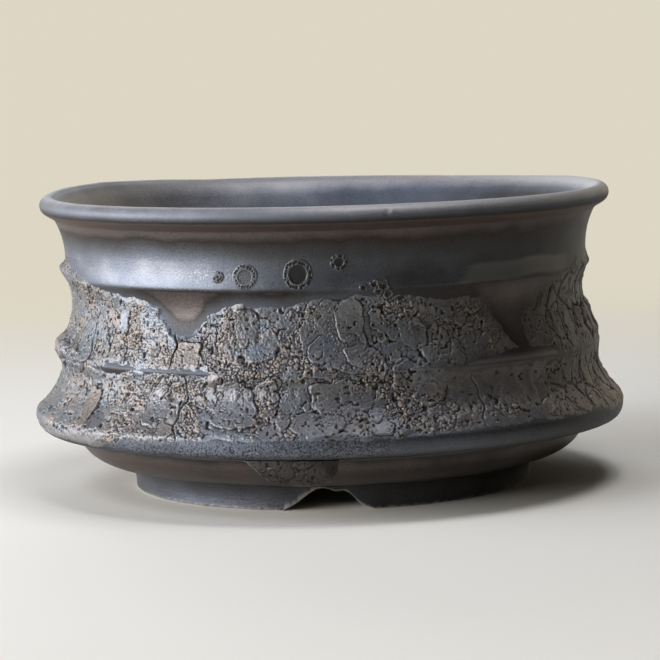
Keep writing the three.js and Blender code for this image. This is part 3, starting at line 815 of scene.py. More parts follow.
# Edges of the coat, as turn and rise: top and bottom on the upper belt, then on the lower one
UPPER_TOP = [
    (-180, 22), (-150, 24), (-134, 20), (-127, 16), (-122, 8), (-118, 0), (-114, -4), (-110, -2), (-107, 6),
    (-104, 17), (-100, 27), (-94, 32.5), (-88, 34.5), (-80, 35), (-70, 33), (-62, 29.5), (-56, 27.5),
    (-50, 26), (-45, 25.5), (-42, 24), (-39.5, 22), (-37, 18.5), (-35, 15.5), (-33, 13.6), (-30, 13.4),
    (-28, 16), (-26, 20.5), (-22, 23), (-18, 23.6), (-12, 22.8), (-6, 24.6), (-1, 26), (6, 26.4), (12, 26.2),
    (20, 25.5), (26, 25), (30, 24.5), (33, 23.5), (36, 20), (39, 14.5), (42, 8), (44, 5), (45, 5), (46, 8),
    (48, 14), (50, 20), (54, 26), (60, 30), (70, 34), (85, 35), (98, 31), (105, 26), (109, 18), (112, 8),
    (116, -2), (121, -4), (126, 3), (130, 13), (136, 20), (150, 25), (180, 22),
]
UPPER_BOTTOM = [
    (-180, 1.5), (-115, 1.5), (-108, -1), (-54, -1), (-52, 0.9), (-26, 0.9), (-23, -1), (27, -1), (32, 2.3),
    (40, 2.3), (50, 3), (54, -1), (110, -1), (130, 1.5), (180, 1.5),
]
LOWER_TOP = [
    (-180, -2), (-130, 1), (-110, -2), (-108, 1), (-58, 1), (-55, -1.4), (-48, -1), (-44, 0), (-26, 0),
    (-23, 1), (19, 1), (24, 0.2), (30, -0.8), (38, -0.8), (44, -0.2), (49, 1), (100, 1), (120, -2), (150, -3),
    (165, 1), (180, -2),
]
LOWER_BOTTOM = [
    (-180, -23), (-118, -24), (-108, -29.5), (-50, -29.5), (-40, -25.5), (-20, -23.8), (0, -23.8), (40, -23),
    (55, -24.5), (80, -25), (110, -23.5), (180, -23),
]


def edge_at(table):
    """An edge's rise at every column, read off its table."""
    return read_off(table, slip_turns)[:, None]


wander = 1.6 * (cloud(5, 4) - 0.5) + 0.9 * (cloud(2, 5) - 0.5)
upper_cover = np.minimum(slip_rise - edge_at(UPPER_BOTTOM), edge_at(UPPER_TOP) - slip_rise)
lower_cover = np.minimum(slip_rise - edge_at(LOWER_BOTTOM), edge_at(LOWER_TOP) - slip_rise)
slip_cover = np.maximum(upper_cover, lower_cover) + wander

# A drop's edge, the lip inside it and the crevice outside it, in mm
EDGE_WIDTH = 0.45
LIP_INSET = 0.35
LIP_WIDTH = 0.3
CREVICE_OUTSET = 0.2
CREVICE_WIDTH = 0.16
CREVICE_DEPTH = 0.22
FULL_CIRCLE = 6.28


def lay_drop(
    turn, rise, wide, high, thick, square=2.0, tilt=0.0, keep=0.2, lip=0.05, dish=0.0, film=0.0, tan=0.0,
    calm=0.0, spread=0.0,
):
    """One splashed drop: a rounded patch with a wavering outline, near level on top at its thickness over
    the mean of what it covers, thicker on one side, with a raised lip inside its edge and a crevice outside
    it. Sizes are half-widths."""
    reach = int((1.6 * max(wide, high) + 1.5) / SLIP_STEP)
    middle = (turn + 180) / 360 * SLIP_COLUMNS
    columns = round(middle) + np.arange(-reach, reach + 1)
    level_row = round(rise / SLIP_STEP) + BELOW_RIDGE
    rows = np.arange(max(0, level_row - reach), min(SLIP_ROWS, level_row + reach + 1))
    if len(rows) < 2:
        return
    spot = np.ix_(columns % SLIP_COLUMNS, rows)
    across = ((columns - middle) * SLIP_STEP)[:, None]
    up = (slip_rise[rows] - rise)[None, :]
    lean = math.radians(tilt)
    x = (across * math.cos(lean) + up * math.sin(lean)) / wide
    y = (up * math.cos(lean) - across * math.sin(lean)) / high
    way = np.arctan2(y, x)
    outline = 1 + 0.5 * ragged[spot] / (min(wide, high) + 0.5)
    for lobes in range(2, 8):
        swell = 0.12 / lobes**0.7 * dice.normal()
        outline = outline + swell * np.cos(lobes * way + dice.uniform(0, FULL_CIRCLE))
    inward = (np.abs(x) ** square + np.abs(y) ** square) ** (1 / square)
    depth = (outline - inward) * min(wide, high)
    inside = eased(depth / EDGE_WIDTH + 0.5)
    heavy = dice.uniform(0, FULL_CIRCLE)
    side = np.clip(0.55 + 0.55 * (x * math.cos(heavy) + y * math.sin(heavy)), 0.05, 1.1)
    under = slip_height[spot]
    mean = (under * inside).sum() / max(inside.sum(), 1e-6)
    top = mean + thick * side + keep * (under - mean) - dish * (1 - inward**2)
    top = top + lip * side * bell(depth, LIP_INSET, LIP_WIDTH)
    crevice = np.clip(1.1 * thick * side, 0, CREVICE_DEPTH) * bell(depth, -CREVICE_OUTSET, CREVICE_WIDTH)
    crevice = crevice * (0.25 + 0.75 * broken[spot])
    slip_height[spot] = under * (1 - inside) + top * inside - crevice
    for field, value in ((slip_film, film), (slip_tan_and_highlight, tan), (slip_calm, calm)):
        field[spot] += (value - field[spot]) * inside
    if spread > 0:
        slip_cover[spot] = np.maximum(slip_cover[spot], spread * depth)


def scatter(count, low, high):
    """Turns and rises of drops thrown at random, kept where the coat lies well inside its edge and, by
    chance, where it isn't calm."""
    turn = dice.uniform(-180, 180, count)
    rise = dice.uniform(low, high, count)
    column = ((turn + 180) / 360 * SLIP_COLUMNS).astype(int) % SLIP_COLUMNS
    row = np.clip(np.round(rise / SLIP_STEP).astype(int) + BELOW_RIDGE, 0, SLIP_ROWS - 1)
    held = slip_cover[column, row] > 0.6
    calm = dice.random(count) < slip_calm[column, row]
    chosen = held & ~calm
    return turn[chosen], rise[chosen]


def blurred(values, reach):
    """A running mean both ways over a number of points, closed round the pot and level past the top and
    bottom."""
    kernel = 2 * reach + 1
    wide = np.concatenate([values[-reach - 1 :], values, values[:reach]])
    total = np.cumsum(wide, axis=0)
    values = (total[kernel:] - total[:-kernel]) / kernel
    tall = np.pad(values, ((0, 0), (reach + 1, reach)), mode="edge")
    total = np.cumsum(tall, axis=1)
    return (total[:, kernel:] - total[:, :-kernel]) / kernel


# First splashes: broad drops all over
for turn, rise in zip(*scatter(240, -22, 34)):
    radius = 2.5 + 5.5 * dice.random() ** 2
    stretch = dice.uniform(0.75, 1.35)
    thick = dice.uniform(0.12, 0.42)
    square = dice.uniform(2, 3)
    tilt = dice.uniform(-40, 40)
    film = dice.random()
    tan = 0.25 * float(dice.random() < 0.2)
    lay_drop(turn, rise, radius, radius * stretch, thick, square, tilt, film=film, tan=tan)

# Coarse grog: lumps and grit that break through the slip in fields, as turn, rise, half-width and half-height
LUMP_SIZE = 2.0
GRIT_SIZE = 0.95
GRAINY_SPOTS = [
    (-9.1, 7.9, 8, 7.4), (-2.1, 19, 5.7, 6.4), (-12.5, -13.4, 3, 3.5), (-27, -12.9, 5.5, 8.7),
    (23.2, -18.6, 6, 5.8), (0, 3.5, 4, 2.5), (13, 21, 7, 6), (28, 12, 10, 8), (-47, 10, 8, 8),
    (-44, -10, 6, 6),
]
lump_gap, lump_own = crumbs(LUMP_SIZE, 21)
grit_gap, grit_own = crumbs(GRIT_SIZE, 22)
lump_lift = eased(lump_gap / 0.4) * (0.2 + 0.8 * lump_own)
grit_lift = eased(grit_gap / 0.45) * (0.2 + 0.8 * grit_own)
grainy = 0.6 * cloud(9, 23) + 0.4 * cloud(4, 24)
for turn, rise, wide, high in GRAINY_SPOTS:
    aside = (slip_turns[:, None] - turn) / 360 * SLIP_GIRTH / wide
    grainy += 0.35 * np.exp(-(aside**2) - ((slip_rise - rise) / high) ** 2)
grainy = eased((grainy - 0.48 - 0.2 * left - 0.12 * right) / 0.16) * (0.3 + 0.7 * eased(slip_cover / 2.5))
slip_height += grainy * (0.32 * (1 - 0.5 * left) * lump_lift + 0.3 * grit_lift - 0.22)
warm = eased((cloud(6, 25) - 0.25) / 0.4)
slip_tan_and_highlight = np.maximum(slip_tan_and_highlight, grainy * warm * eased((lump_lift + 0.4 * grit_lift - 0.45) / 0.4))
creamy = eased((0.6 * cloud(7, 28) + 0.4 * cloud(3, 29) - 0.5) / 0.12) * between(-BACK_TURN, -24, 10)
slip_tan_and_highlight = np.maximum(slip_tan_and_highlight, 0.7 * creamy)
slip_film += (1 - slip_film) * 0.35 * left
slip_film *= 1 - 0.5 * grainy

# Slip built up on the ridges and the shoulder at both sides, as a low and a high turn, a rise, a half-height
# and a lift
BUILD_UPS = [
    (-BACK_TURN, -60, 3.2, 3.0, 2.0), (-BACK_TURN, -60, -23.0, 2.4, 0.5), (-106, -74, 31.0, 1.5, 1.2),
    (62, BACK_TURN, 12.5, 2.2, 1.2), (62, BACK_TURN, 9.0, 4.0, 0.5), (62, BACK_TURN, 4.2, 1.5, 0.9),
    (70, BACK_TURN, -22.0, 3.0, 0.5),
]
lumpy = 0.6 + 0.8 * cloud(3.5, 26)
for low, high, rise, half_height, lift in BUILD_UPS:
    slip_height += lift * lumpy * between(low, high, 10) * bell(slip_rise, rise, half_height)

# Runs at the far right: the slip slid down in long plates that parted at deep cracks
RUN_SIZE = 9.0
RUN_STRETCH = 1.6
slip_height += (blurred(slip_height, 7) - slip_height) * 0.5 * far_right
run_gap, run_own = crumbs(RUN_SIZE, 27, RUN_STRETCH)
seam = bell(run_gap, 0, 0.06) * far_right * (0.2 + 0.8 * broken)
slip_height += far_right * 0.5 * (run_own - 0.5) - 1.3 * seam
slip_film += (0.2 + 0.6 * run_own - slip_film) * far_right
slip_tan_and_highlight = np.maximum(slip_tan_and_highlight, far_right * eased((run_own - 0.6) / 0.3) * below(-6, 8))
slip_calm = np.maximum(slip_calm, np.maximum(0.45 * far_right, 0.6 * between(-BACK_TURN, -66, 8)))

# Broad plates and pans that stand out at the front, as turn, rise, half-width, half-height, thickness,
# squareness and tint (1 for a film, 0 for plain and -1 for tan)
PLATES = [
    (1.2, 13, 10.8, 12, 0.25, 2.6, 0), (4.2, 18.2, 4.6, 7.2, 0.2, 3.0, 0), (5.7, 5.8, 4, 3.8, 0.3, 2.4, 0),
    (-1.3, 8.5, 4.6, 4.9, 0.15, 2.2, 1), (-16.9, 16.8, 4.5, 4.8, 0.5, 3.2, 0),
    (-29.7, 6.2, 5, 4.5, 0.5, 4.5, -1), (-19.9, -10.5, 8.8, 8.1, 0.45, 2.6, 0),
    (-16.3, -16.2, 3.3, 2.6, 0.3, 2.4, 0), (2.1, -9.2, 10.3, 7.1, 0.4, 2.3, 0),
    (-2.6, -18.1, 7.9, 5.2, 0.5, 2.0, 0), (9.1, -19, 4.4, 3, 0.2, 2.2, 0), (-9, -14.5, 2.3, 4.5, 0.4, 2.5, 0),
    (13.1, 5.4, 2.2, 2.4, 0.3, 2.2, 0), (9.6, 20.1, 2, 2, 0.25, 2.0, 0), (-55.7, -15, 4.2, 8, 0.5, 2.5, -1),
    (-36, -12, 4.4, 8.6, 0.45, 2.2, 0), (49.9, 11.1, 9.5, 7.7, 0.3, 2.1, 1),
    (17.4, 12.9, 4.8, 5.4, 0.25, 2.2, 1), (-49, 16.5, 2.3, 5.2, 0.3, 2.4, 1), (40, -12, 2.2, 6, 0.35, 2.4, 0),
    (43.5, -10, 2.4, 6, 0.35, 2.4, 0), (47, -13, 2.6, 6, 0.4, 2.4, 0), (-15.3, 7.9, 8, 3.4, 0.2, 2.2, 1),
    (-62, 8, 6, 8, 0.3, 2.2, 1), (46.2, -17.5, 2.2, 2.6, 0.4, 2.4, -1), (52, -19.5, 1.8, 3.2, 0.4, 2.6, -1),
    (58, -20, 2.6, 2.4, 0.4, 2.6, -1), (63, -19.5, 2.4, 2.4, 0.4, 2.6, -1), (71, -17, 3, 4, 0.4, 2.6, -1),
    (-40.5, 18.8, 4.2, 4.4, 0.1, 2.2, 1),
]
for turn, rise, wide, high, thick, square, tint in PLATES:
    film = max((0.45 if turn < 12 else 0.15) + 0.4 * tint, 0.0)
    tan = max(-0.5 * tint, 0.0)
    spread = 2.5 if turn < 45 else 1.2
    lay_drop(
        turn, rise, wide, high, thick, square, lip=0.12, film=film, tan=tan, calm=0.85, spread=spread
    )

# Sandy patches on pans and plates alike, hair cracks along the contours of a slow noise, and clustered pits
SAND_HEIGHT = 0.22
HAIR_DEPTH = 0.16
PIT_DEPTH = 0.5
sandy = 0.1 + 0.9 * eased((0.5 * cloud(7, 41) + 0.5 * cloud(2.5, 42) - 0.47) / 0.15)
slip_height += SAND_HEIGHT * sandy * (grit_lift - 0.35) * (1 - np.maximum(0.3 * far_right, 0.5 * left))
hair = bell(cloud(6, 43), 0.5, 0.02) * eased((cloud(9, 44) - 0.45) / 0.1)
slip_height -= HAIR_DEPTH * hair
pit_noise = 0.6 * cloud(1.05, 61) + 0.4 * cloud(2.8, 62) + 0.03 * left - 0.01 * right
pitted = eased((pit_noise - 0.69) / 0.08) * (1 - 0.7 * slip_calm)
slip_height -= PIT_DEPTH * pitted

# Small drops, burst bubbles and pits over everything. The bubbles and pits that stand out are given as turn,
# rise and radius
RINGS = [
    (15.0, -10.2, 1.7), (10.6, 12.3, 1.9), (-33.1, -8.4, 2.2), (7.2, 29.2, 1.6), (9.3, 30.3, 1.6),
    (11.2, 29.9, 2.1), (12.6, 28.6, 1.2), (10.2, 27.6, 1.7), (12.3, 26.8, 1.8),
]
PITS = [(-17.7, 5.0, 1.5), (-16.4, 4.4, 1.1), (-38.0, 7.4, 2.0)]
for turn, rise in zip(*scatter(700, -22, 36)):
    radius = 0.7 + 2.2 * dice.random() ** 2.2
    long = 1.6 if abs(turn) > 48 else 1.1
    high = radius * dice.uniform(0.8, 1.3) * long
    thick = dice.uniform(0.08, 0.3)
    tilt = dice.uniform(-30, 30)
    film = dice.random()
    tan = 0.4 * float(dice.random() < 0.2)
    lay_drop(turn, rise, radius, high, thick, 2.2, tilt, keep=0.45, film=film, tan=tan)
ring_turns, ring_rises = scatter(90, -21, 34)
rings = RINGS + [(turn, rise, dice.uniform(0.8, 1.6)) for turn, rise in zip(ring_turns, ring_rises)]
for turn, rise, radius in rings:
    on_neck = rise > 26.5 and 7 < turn < 13
    dish = 0.4 if on_neck else 0.25
    spread = 8.0 if on_neck else 0.0
    tan = 0.0 if on_neck else 0.2
    lay_drop(turn, rise, radius, radius, 0.12, 2.0, lip=0.2, dish=dish, keep=0.1, tan=tan, spread=spread)
pit_turns, pit_rises = scatter(700, -23, 36)
pits = PITS + [(turn, rise, 0.2 + 0.4 * dice.random() ** 2) for turn, rise in zip(pit_turns, pit_rises)]
for turn, rise, radius in pits:
    at_side = turn < -42 or turn > 20
    wide = 1.5 * radius if at_side else radius
    long = dice.uniform(1.0, 2.4 if at_side else 1.8)
    deep = dice.uniform(0.4, 0.9) * (0.45 if turn > 14 else 1.0)
    lay_drop(turn, rise, wide, wide * long, -deep, 2.0, keep=0.3, lip=0.0)

# Fine grain over it all, less of it at the right, and a thin even coat on the skirt's nose at the left
LEAST_HEIGHT = 0.04
MOST_HEIGHT = 3.0
NOSE_HEIGHT = 0.5
fine = 0.14 * (cloud(0.55, 31) - 0.5) + 0.1 * (cloud(0.95, 32) - 0.5)
slip_height += fine * (1 - np.maximum(0.3 * far_right, 0.3 * slip_calm))
slip_height += 0.28 * (cloud(2.4, 33) - 0.5) * (1 - 0.7 * slip_calm) * (1 - 0.5 * right)
slip_height += (blurred(slip_height, 2) - slip_height) * 0.4 * np.maximum(between(14, 54, 8), 0.5 * far_right)
shallow = between(20, 50, 6) * above(-15, 4) * below(2, 2)
slip_height += (blurred(slip_height, 5) - slip_height) * 0.7 * shallow
nose = below(-25.2, 1.6) * left
slip_height += (NOSE_HEIGHT - slip_height) * nose
slip_height = np.clip(slip_height, LEAST_HEIGHT, MOST_HEIGHT)

# Painted shade: cracks and hollows are darkened where the relief is low, and some parts all over, the right
# most.
# Tan shows where the relief stands high, partly bared grog and partly painted highlight on the peaks.
near_relief = slip_height - blurred(blurred(slip_height, 2), 2)
broad_relief = slip_height - blurred(blurred(slip_height, 7), 7)
slip_crack_and_shade = eased((-(2.4 + 1.4 * far_right) * near_relief - 0.7 * broad_relief - 0.05) / 0.25)
shade = 0.05 + 0.16 * left + (0.24 * right + 0.18 * far_right) * (1 - below(-10, 6))
shade = shade + 0.3 * right * (1 - eased(slip_cover / 5.0))
shade = shade * (1 - 0.8 * nose) + 0.3 * between(4, 16, 3) * above(26, 1.5)
shade = shade * (1 - 0.9 * between(-BACK_TURN, -52, 6) * below(-6, 6))
slip_crack_and_shade = np.maximum(slip_crack_and_shade, shade)
slip_film += (1 - slip_film) * 0.8 * (1 - eased(slip_cover / 3.0)) * (1 - right)
slip_film += (1 - slip_film) * nose
slip_film = blurred(slip_film * (1 - 0.5 * right), 5)
# Tan laid on the peaks stands partly for bared grog and partly for painted highlights.
slip_peak_highlight = eased((1.3 * near_relief + 0.5 * broad_relief - 0.04) / 0.25)
slip_tan_and_highlight = slip_tan_and_highlight * (0.35 + 0.5 * slip_peak_highlight) + (0.25 + 0.3 * far_right) * slip_peak_highlight + 0.1 * right
# On the skirt's nose at the left the tan is raised and the shade lessened: painted light where the window
# lamp falls.
slip_tan_and_highlight = np.clip(slip_tan_and_highlight, 0, 1) * (1 - 0.7 * nose) + 0.35 * nose

# The coat thins out to its edge, and past it the skin dips into the clay
edge_share = eased(slip_cover / (2.5 + 4.0 * right)) * (1 - 0.7 * between(34, 50, 6) * above(0, 2))
feather = slip_height * (0.15 + 0.85 * edge_share) - 0.15 * (1 - edge_share)
skin = np.where(slip_cover > 0, np.maximum(feather, -TUCK), np.maximum(-TUCK, 2.0 * slip_cover - 0.15))

# The slip's water carried glaze a little past its edge, so the wall is filmed over round the crust
HALO_WIDTH = 7
WALL_DRY = 0.35
FILM_THIN = [(-30, -0.15), (-18, -0.3), (4, -0.3), (20, 0.1)]
outside = slice(len(outside_runs))
wall_column = np.round((wall_turns + 180) / 360 * SLIP_COLUMNS).astype(int) % SLIP_COLUMNS
wall_row = np.round((outside_runs - MIDDLE_RUN) / SLIP_STEP).astype(int) + BELOW_RIDGE
past_edge = slip_cover[wall_column, np.clip(wall_row, 0, SLIP_ROWS - 1)]
halo = eased((past_edge + HALO_WIDTH) / HALO_WIDTH) * ((wall_row > 0) & (wall_row < SLIP_ROWS - 1))
over_crust = eased((36 - wall_turns) / 6) * (outside_runs > UPPER_RUN - 6)
halo = halo * (0.2 + 0.8 * np.maximum(eased((12 - wall_turns) / 16), over_crust))
film_target = read_off(FILM_THIN, wall_turns) + 0.25 * (outside_runs < MIDDLE_RUN)
filmed_thin_and_light = wall_thin_and_light.copy()
filmed_thin_and_light[:, outside] += (film_target - filmed_thin_and_light[:, outside]) * 0.7 * halo
wall_piece.data.attributes["thin_and_light"].data.foreach_set("value", filmed_thin_and_light.ravel().astype(np.float32))
wall_dry = np.full(wall_thin_and_light.shape, WALL_DRY)
wall_dry[:, outside] = np.where(wall_row > 0, np.maximum(halo, WALL_DRY), 1.0)
dry_layer = wall_piece.data.attributes.new("dry", "FLOAT", "POINT")
dry_layer.data.foreach_set("value", wall_dry.ravel().astype(np.float32))

# Dried grog slip: the same dark glaze lies on it as a blue-grey film in the pans, the plates are umber and
# satin, and the grains come through tan and matt. Cracks, hollows and some whole parts are painted near black
# as shade, and tan paints highlights on the peaks. Its dust is drawn as coarse as it needs to be to show.
BLOTCH_SIZE = 6 * MM
DUST_SIZE = 0.8 * MM
DUST_DEPTH = 0.18 * MM
PLATE_TONES = [(0.35, "#524c47"), (0.65, "#6b645d")]
FILM_TONE = "#5d6368"
TAN_AND_HIGHLIGHT_TONE = "#948473"
CRACK_AND_SHADE_TONE = "#15110e"
crust = bpy.data.materials.new("dried_grog_slip")
crust.use_nodes = True
tree = crust.node_tree
shader = tree.nodes["Principled BSDF"]
place = add_node(tree, "ShaderNodeTexCoord", out="Object")
# The crack mark also carries painted shade, and the tan mark painted highlights on the peaks.
mark = {
    name: add_node(tree, "ShaderNodeAttribute", out="Fac", attribute_name=name)
    for name in ("crack", "film", "tan")
}
blotch = add_node(
    tree, "ShaderNodeTexNoise", {"Vector": place, "Scale": 1 / BLOTCH_SIZE, "Detail": 6.0}, "Fac"
)
dust = add_node(tree, "ShaderNodeTexNoise", {"Vector": place, "Scale": 1 / DUST_SIZE, "Detail": 4.0}, "Fac")
tone = add_node(tree, "ShaderNodeValToRGB", {"Fac": blotch}, "Color", PLATE_TONES)
dusty = add_node(
    tree,
    "ShaderNodeMapRange",
    {"Value": dust, "From Min": 0.3, "From Max": 0.7, "To Min": -0.3, "To Max": 0.25},
    "Result",
)
tan_and_highlight_share = add_node(
    tree, "ShaderNodeMath", {0: mark["tan"], 1: dusty}, "Value", operation="ADD", use_clamp=True
)
for share, colour in ((mark["film"], FILM_TONE), (tan_and_highlight_share, TAN_AND_HIGHLIGHT_TONE), (mark["crack"], CRACK_AND_SHADE_TONE)):
    layers = {"Factor": share, "A": tone, "B": linear(colour)}
    tone = add_node(tree, "ShaderNodeMix", layers, "Result", data_type="RGBA")
matt = add_node(
    tree,
    "ShaderNodeMapRange",
    {"Value": mark["tan"], "From Min": 0.0, "From Max": 0.8, "To Min": 0.46, "To Max": 0.64},
    "Result",
)
dust_bump = add_node(
    tree, "ShaderNodeBump", {"Height": dust, "Strength": 0.6, "Distance": DUST_DEPTH}, "Normal"
)
for socket, value in (("Base Color", tone), ("Roughness", matt), ("Normal", dust_bump)):
    tree.links.new(value, shader.inputs[socket])
shader.inputs["Metallic"].default_value = 0.55
shader.inputs["IOR"].default_value = 1.6

# The skins of the daubs: fine in front and coarser behind by this many steps
BACK_STEP = 8
SKIN_CREASE = 80


def skin_faces(columns, rows, coarse):
    """Faces of a closed skin: the front grid, a coarser grid behind it, and one wall polygon to each coarse
    step of the border, which takes in the fine points along it."""
    front = np.arange(columns * rows).reshape(columns, rows)
    back_columns = (columns - 1) // coarse + 1
    back_rows = (rows - 1) // coarse + 1
    back = columns * rows + np.arange(back_columns * back_rows).reshape(back_columns, back_rows)

    def quads(grid):
        """Four neighbouring points of a grid to each face."""
        return np.stack([grid[:-1, :-1], grid[1:, :-1], grid[1:, 1:], grid[:-1, 1:]], axis=-1).reshape(-1, 4)

    def border(fine, behind):
        """The fine points of each coarse step, then the two points behind them."""
        steps = np.arange(len(behind) - 1)[:, None] * coarse + np.arange(coarse + 1)
        return np.concatenate([fine[steps], behind[1:, None], behind[:-1, None]], axis=1)

    walls = [
        border(front[:, 0], back[:, 0])[:, ::-1],
        border(front[:, -1], back[:, -1]),
        border(front[0], back[0]),
        border(front[-1], back[-1])[:, ::-1],
    ]
    return [quads(front), quads(back)[:, ::-1], np.concatenate(walls)]


def add_skin(node, surface, turns, runs, lift, marks, coarse=BACK_STEP):
    """A daub's skin over the clay: the front lifted off the surface, the back sunk into the clay under it.
    The front's border is kept sharp, so that daubs which meet are shaded as one."""
    front = surface(turns[:, None], runs[None, :], lift)
    back = surface(turns[::coarse, None], runs[None, ::coarse], -2 * TUCK)
    points = np.concatenate([front.reshape(-1, 3), back.reshape(-1, 3)])
    behind = np.zeros(back[..., 0].size)
    marks = {name: np.concatenate([values.ravel(), behind]) for name, values in marks.items()}
    faces = skin_faces(len(turns), len(runs), coarse)
    piece = add_piece(node + "_slip", points, faces, crust, node, marks, SKIN_CREASE)
    border = np.ones(lift.shape, bool)
    border[1:-1, 1:-1] = False
    at_border = np.concatenate([border.ravel(), behind.astype(bool)])
    edges = piece.data.edges
    ends = np.empty(2 * len(edges), np.int32)
    edges.foreach_get("vertices", ends)
    sharp = np.empty(len(edges), bool)
    edges.foreach_get("use_edge_sharp", sharp)
    edges.foreach_set("use_edge_sharp", sharp | at_border[ends.reshape(-1, 2)].all(axis=1))


# The daubs of the belts, as start, end and stride through the slip's columns, which is coarser at the back
DAUB_MARGIN = 2
HALF_CRACK = 0.12
CRACK_SLOPE = 2.2
UPPER_DAUBS = [(-112, -59.5, 1), (-59.5, -33.5, 1), (-33.5, 43, 1), (43, 115, 1), (120, 244, 2)]
LOWER_DAUBS = [(-90, -30, 1), (-30, 30, 1), (30, 90, 1), (90, 150, 2), (150, 210, 2), (210, 270, 2)]


def add_belt_daub(node, start, end, stride, rows):
    """The part of the crust between two turns, parted from its neighbours by a wandering crack at each
    end."""
    per_column = 360 / SLIP_COLUMNS
    degree = SLIP_GIRTH / 360
    first = math.floor((start + 180 - DAUB_MARGIN) / per_column)
    steps = math.ceil((end - start + 2 * DAUB_MARGIN) / per_column / BACK_STEP / stride)
    columns = first + stride * np.arange(BACK_STEP * steps + 1)
    rows = rows[::stride]
    picked = np.ix_(columns % SLIP_COLUMNS, rows)
    turns = columns * per_column - 180
    rises = slip_rise[rows]

    def swing(turn):
        """How far a crack wanders aside: a slow wave and a quick one up the belt."""
        return 1.1 * np.sin(rises / 3.1 + 5 * turn) + 0.5 * np.sin(rises / 1.1 + 3 * turn)

    from_start = (turns - start)[:, None] * degree - swing(start % 360)
    from_end = (end - turns)[:, None] * degree + swing(end % 360)
    within = np.minimum(from_start, from_end) - HALF_CRACK
    lift = np.maximum(np.minimum(skin[picked], CRACK_SLOPE * within), -TUCK)
    marks = {"crack": slip_crack_and_shade[picked], "film": slip_film[picked], "tan": slip_tan_and_highlight[picked]}
    add_skin(node, on_wall, turns, MIDDLE_RUN + rises, lift, marks, BACK_STEP // stride)


upper_rows = np.arange(BELOW_RIDGE, SLIP_ROWS)
lower_rows = np.arange(BELOW_RIDGE + 1)
for index, daub in enumerate(UPPER_DAUBS):
    add_belt_daub(f"crust_upper_{index + 1}", *daub, upper_rows)
for index, daub in enumerate(LOWER_DAUBS):
    add_belt_daub(f"crust_lower_{index + 1}", *daub, lower_rows)


# Spill on the bowl: a half-moon of the same slip that ran down off the skirt at the front and set on the
# bowl. Its edge is given as turn and height, and its relief is that of a patch of the belts' slip.
SPILL_EDGE = [
    (-19, 19.6), (-17.8, 18.6), (-16.2, 15.6), (-14.5, 12.8), (-12.3, 10.7), (-9, 9.9), (-5, 9.7),
    (-2, 10.3), (-0.2, 12.2), (0.8, 15), (1.4, 19.6),
]
SPILL_TURN = -19.3
SPILL_COLUMNS = 161
SPILL_ROWS = 89
SPILL_RUN = 1.0
PATCH_COLUMN = 1470
PATCH_ROW = 140
BOWL_STEP = 0.2
bowl_radius, bowl_height = even_steps(bowl_curve, BOWL_STEP).T
bowl_run = np.linspace(0, BOWL_STEP * (len(bowl_radius) - 1), len(bowl_radius))
bowl_climb = np.arctan2(np.gradient(bowl_height), np.gradient(bowl_radius))


def on_bowl(turn, run, lift=0.0):
    """A point of the bowl's outside: its profile at a run, lifted and swung to its turn."""
    return turned(turn, *off_profile(run, lift, bowl_run, bowl_radius, bowl_height, bowl_climb))


spill_turns = SPILL_TURN + np.arange(SPILL_COLUMNS) * 360 / SLIP_COLUMNS
spill_runs = np.linspace(SPILL_RUN, bowl_run[-1], SPILL_ROWS)
spill_heights = np.interp(spill_runs, bowl_run, bowl_height)
patch = np.ix_(PATCH_COLUMN + np.arange(SPILL_COLUMNS), PATCH_ROW + np.arange(SPILL_ROWS))
spill_cover = spill_heights - read_off(SPILL_EDGE, spill_turns)[:, None] + 0.6 * ragged[patch]
spill_relief = 0.12 + 0.75 * eased(spill_cover / 1.2) * slip_height[patch]
spill_lift = np.where(spill_cover > 0, spill_relief, np.maximum(-TUCK, 2.0 * spill_cover))
spill_rim = bell(spill_cover, 0.5, 0.6)
at_left = eased((-7 - spill_turns) / 4)[:, None]
spill_marks = {
    "crack": np.clip(slip_crack_and_shade[patch] + 0.4 - 0.5 * spill_rim, 0, 1),
    "film": np.maximum(0.4 * slip_film[patch], spill_rim * at_left),
    "tan": 0.5 * slip_tan_and_highlight[patch] + 0.6 * spill_rim * (1 - at_left),
}
add_skin("crust_bowl", on_bowl, spill_turns, spill_runs, spill_lift, spill_marks)


# Blister rings: bubbles in the glaze on the neck that burst and healed. Each left a disc with a thin lip,
# and round it a low ring full of small black pits. The smallest is torn open.
BLISTER_STEP = 0.11
BLISTER_MARGIN = 1.6
BLISTER_FILM = 0.7
FIELD_COLUMNS = (300, 900)
FIELD_ROW = 30

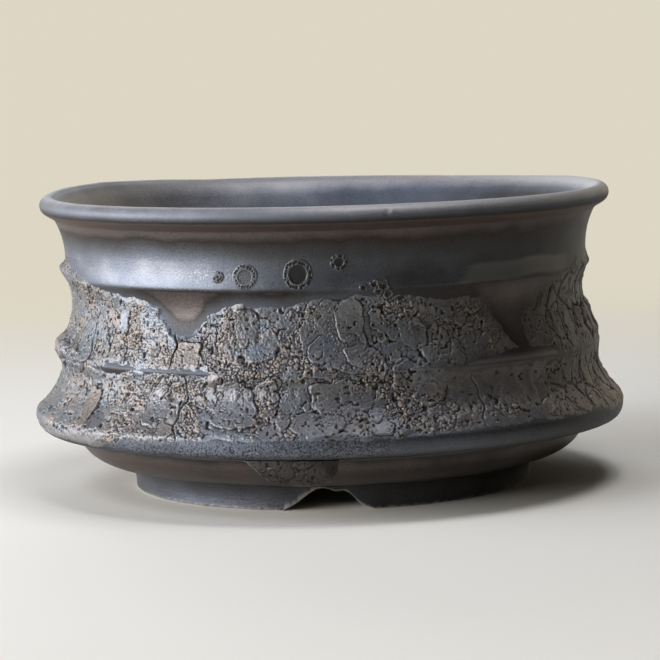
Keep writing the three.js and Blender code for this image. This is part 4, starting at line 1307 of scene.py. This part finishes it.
# Each ring's turn, height, inner and outer radius, number of pits, and how coarse and dark its disc is
BLISTERS = {
    "blister_ring_1": (-22.6, 80.0, 0.6, 1.8, 4, 0.3, 1.0),
    "blister_ring_2": (-16.8, 80.1, 2.5, 4.0, 20, 1.0, 0.2),
    "blister_ring_3": (-5.9, 80.7, 3.2, 4.7, 27, 0.1, 0.6),
    "blister_ring_4": (2.4, 84.4, 1.6, 2.6, 11, 0.6, 0.75),
}
blister_dice = np.random.default_rng(60)
for node, (turn, height, inner, outer, pit_count, coarse, dark) in BLISTERS.items():
    half = BACK_STEP * math.ceil((outer + BLISTER_MARGIN) / BLISTER_STEP / BACK_STEP)
    offset = np.arange(-half, half + 1) * BLISTER_STEP
    across, up = np.meshgrid(offset, offset, indexing="ij")
    run = np.interp(height, wall_height, wall_run)
    girth = 2 * np.pi * np.interp(run, wall_run, wall_radius)
    first = blister_dice.integers(*FIELD_COLUMNS)
    field = np.ix_(first + np.arange(2 * half + 1), FIELD_ROW + np.arange(2 * half + 1))
    way = np.arctan2(up, across)
    out = np.hypot(across, up) * (1 + 0.04 * np.cos(2 * way + turn)) + 0.15 * ragged[field]
    middle = 0.5 * (inner + outer)
    holes = np.zeros_like(out)
    pit_order = np.arange(pit_count) + blister_dice.uniform(-0.3, 0.3, pit_count)
    for hole_way in pit_order / pit_count * 2 * np.pi:
        hole_out = middle + blister_dice.uniform(-0.15, 0.5)
        hole_size = blister_dice.uniform(0.2, 0.52)
        aside = np.hypot(across - hole_out * np.cos(hole_way), up - hole_out * np.sin(hole_way))
        holes = np.maximum(holes, eased((hole_size - aside) / 0.3 + 0.5))
    lip = bell(out, inner, 0.2) * (0.6 + 0.4 * np.cos(way + 0.8))
    land = np.exp(-(((out - middle) / (outer - inner) / 0.62) ** 2))
    disc = eased((inner - out) / 0.3)
    grit = disc * coarse * (grit_lift[field] - 0.4)
    lift = 0.08 + 0.16 * land + 0.2 * lip + 0.25 * grit - 0.2 * disc * (1 - out / inner) - 0.4 * holes
    lift = np.maximum(lift, LEAST_HEIGHT)
    lift = np.where(out > outer, np.maximum(-TUCK, lift - 0.35 * (out - outer)), lift)
    marks = {
        "crack": np.clip(0.5 + 0.15 * dark + holes + dark * disc - 0.4 * lip, 0, 1),
        "film": np.full_like(lift, BLISTER_FILM),
        "tan": 0.15 * lip + 0.3 * np.clip(grit, 0, 1),
    }
    add_skin(node, on_wall, turn + offset / girth * 360, run + offset, lift, marks)
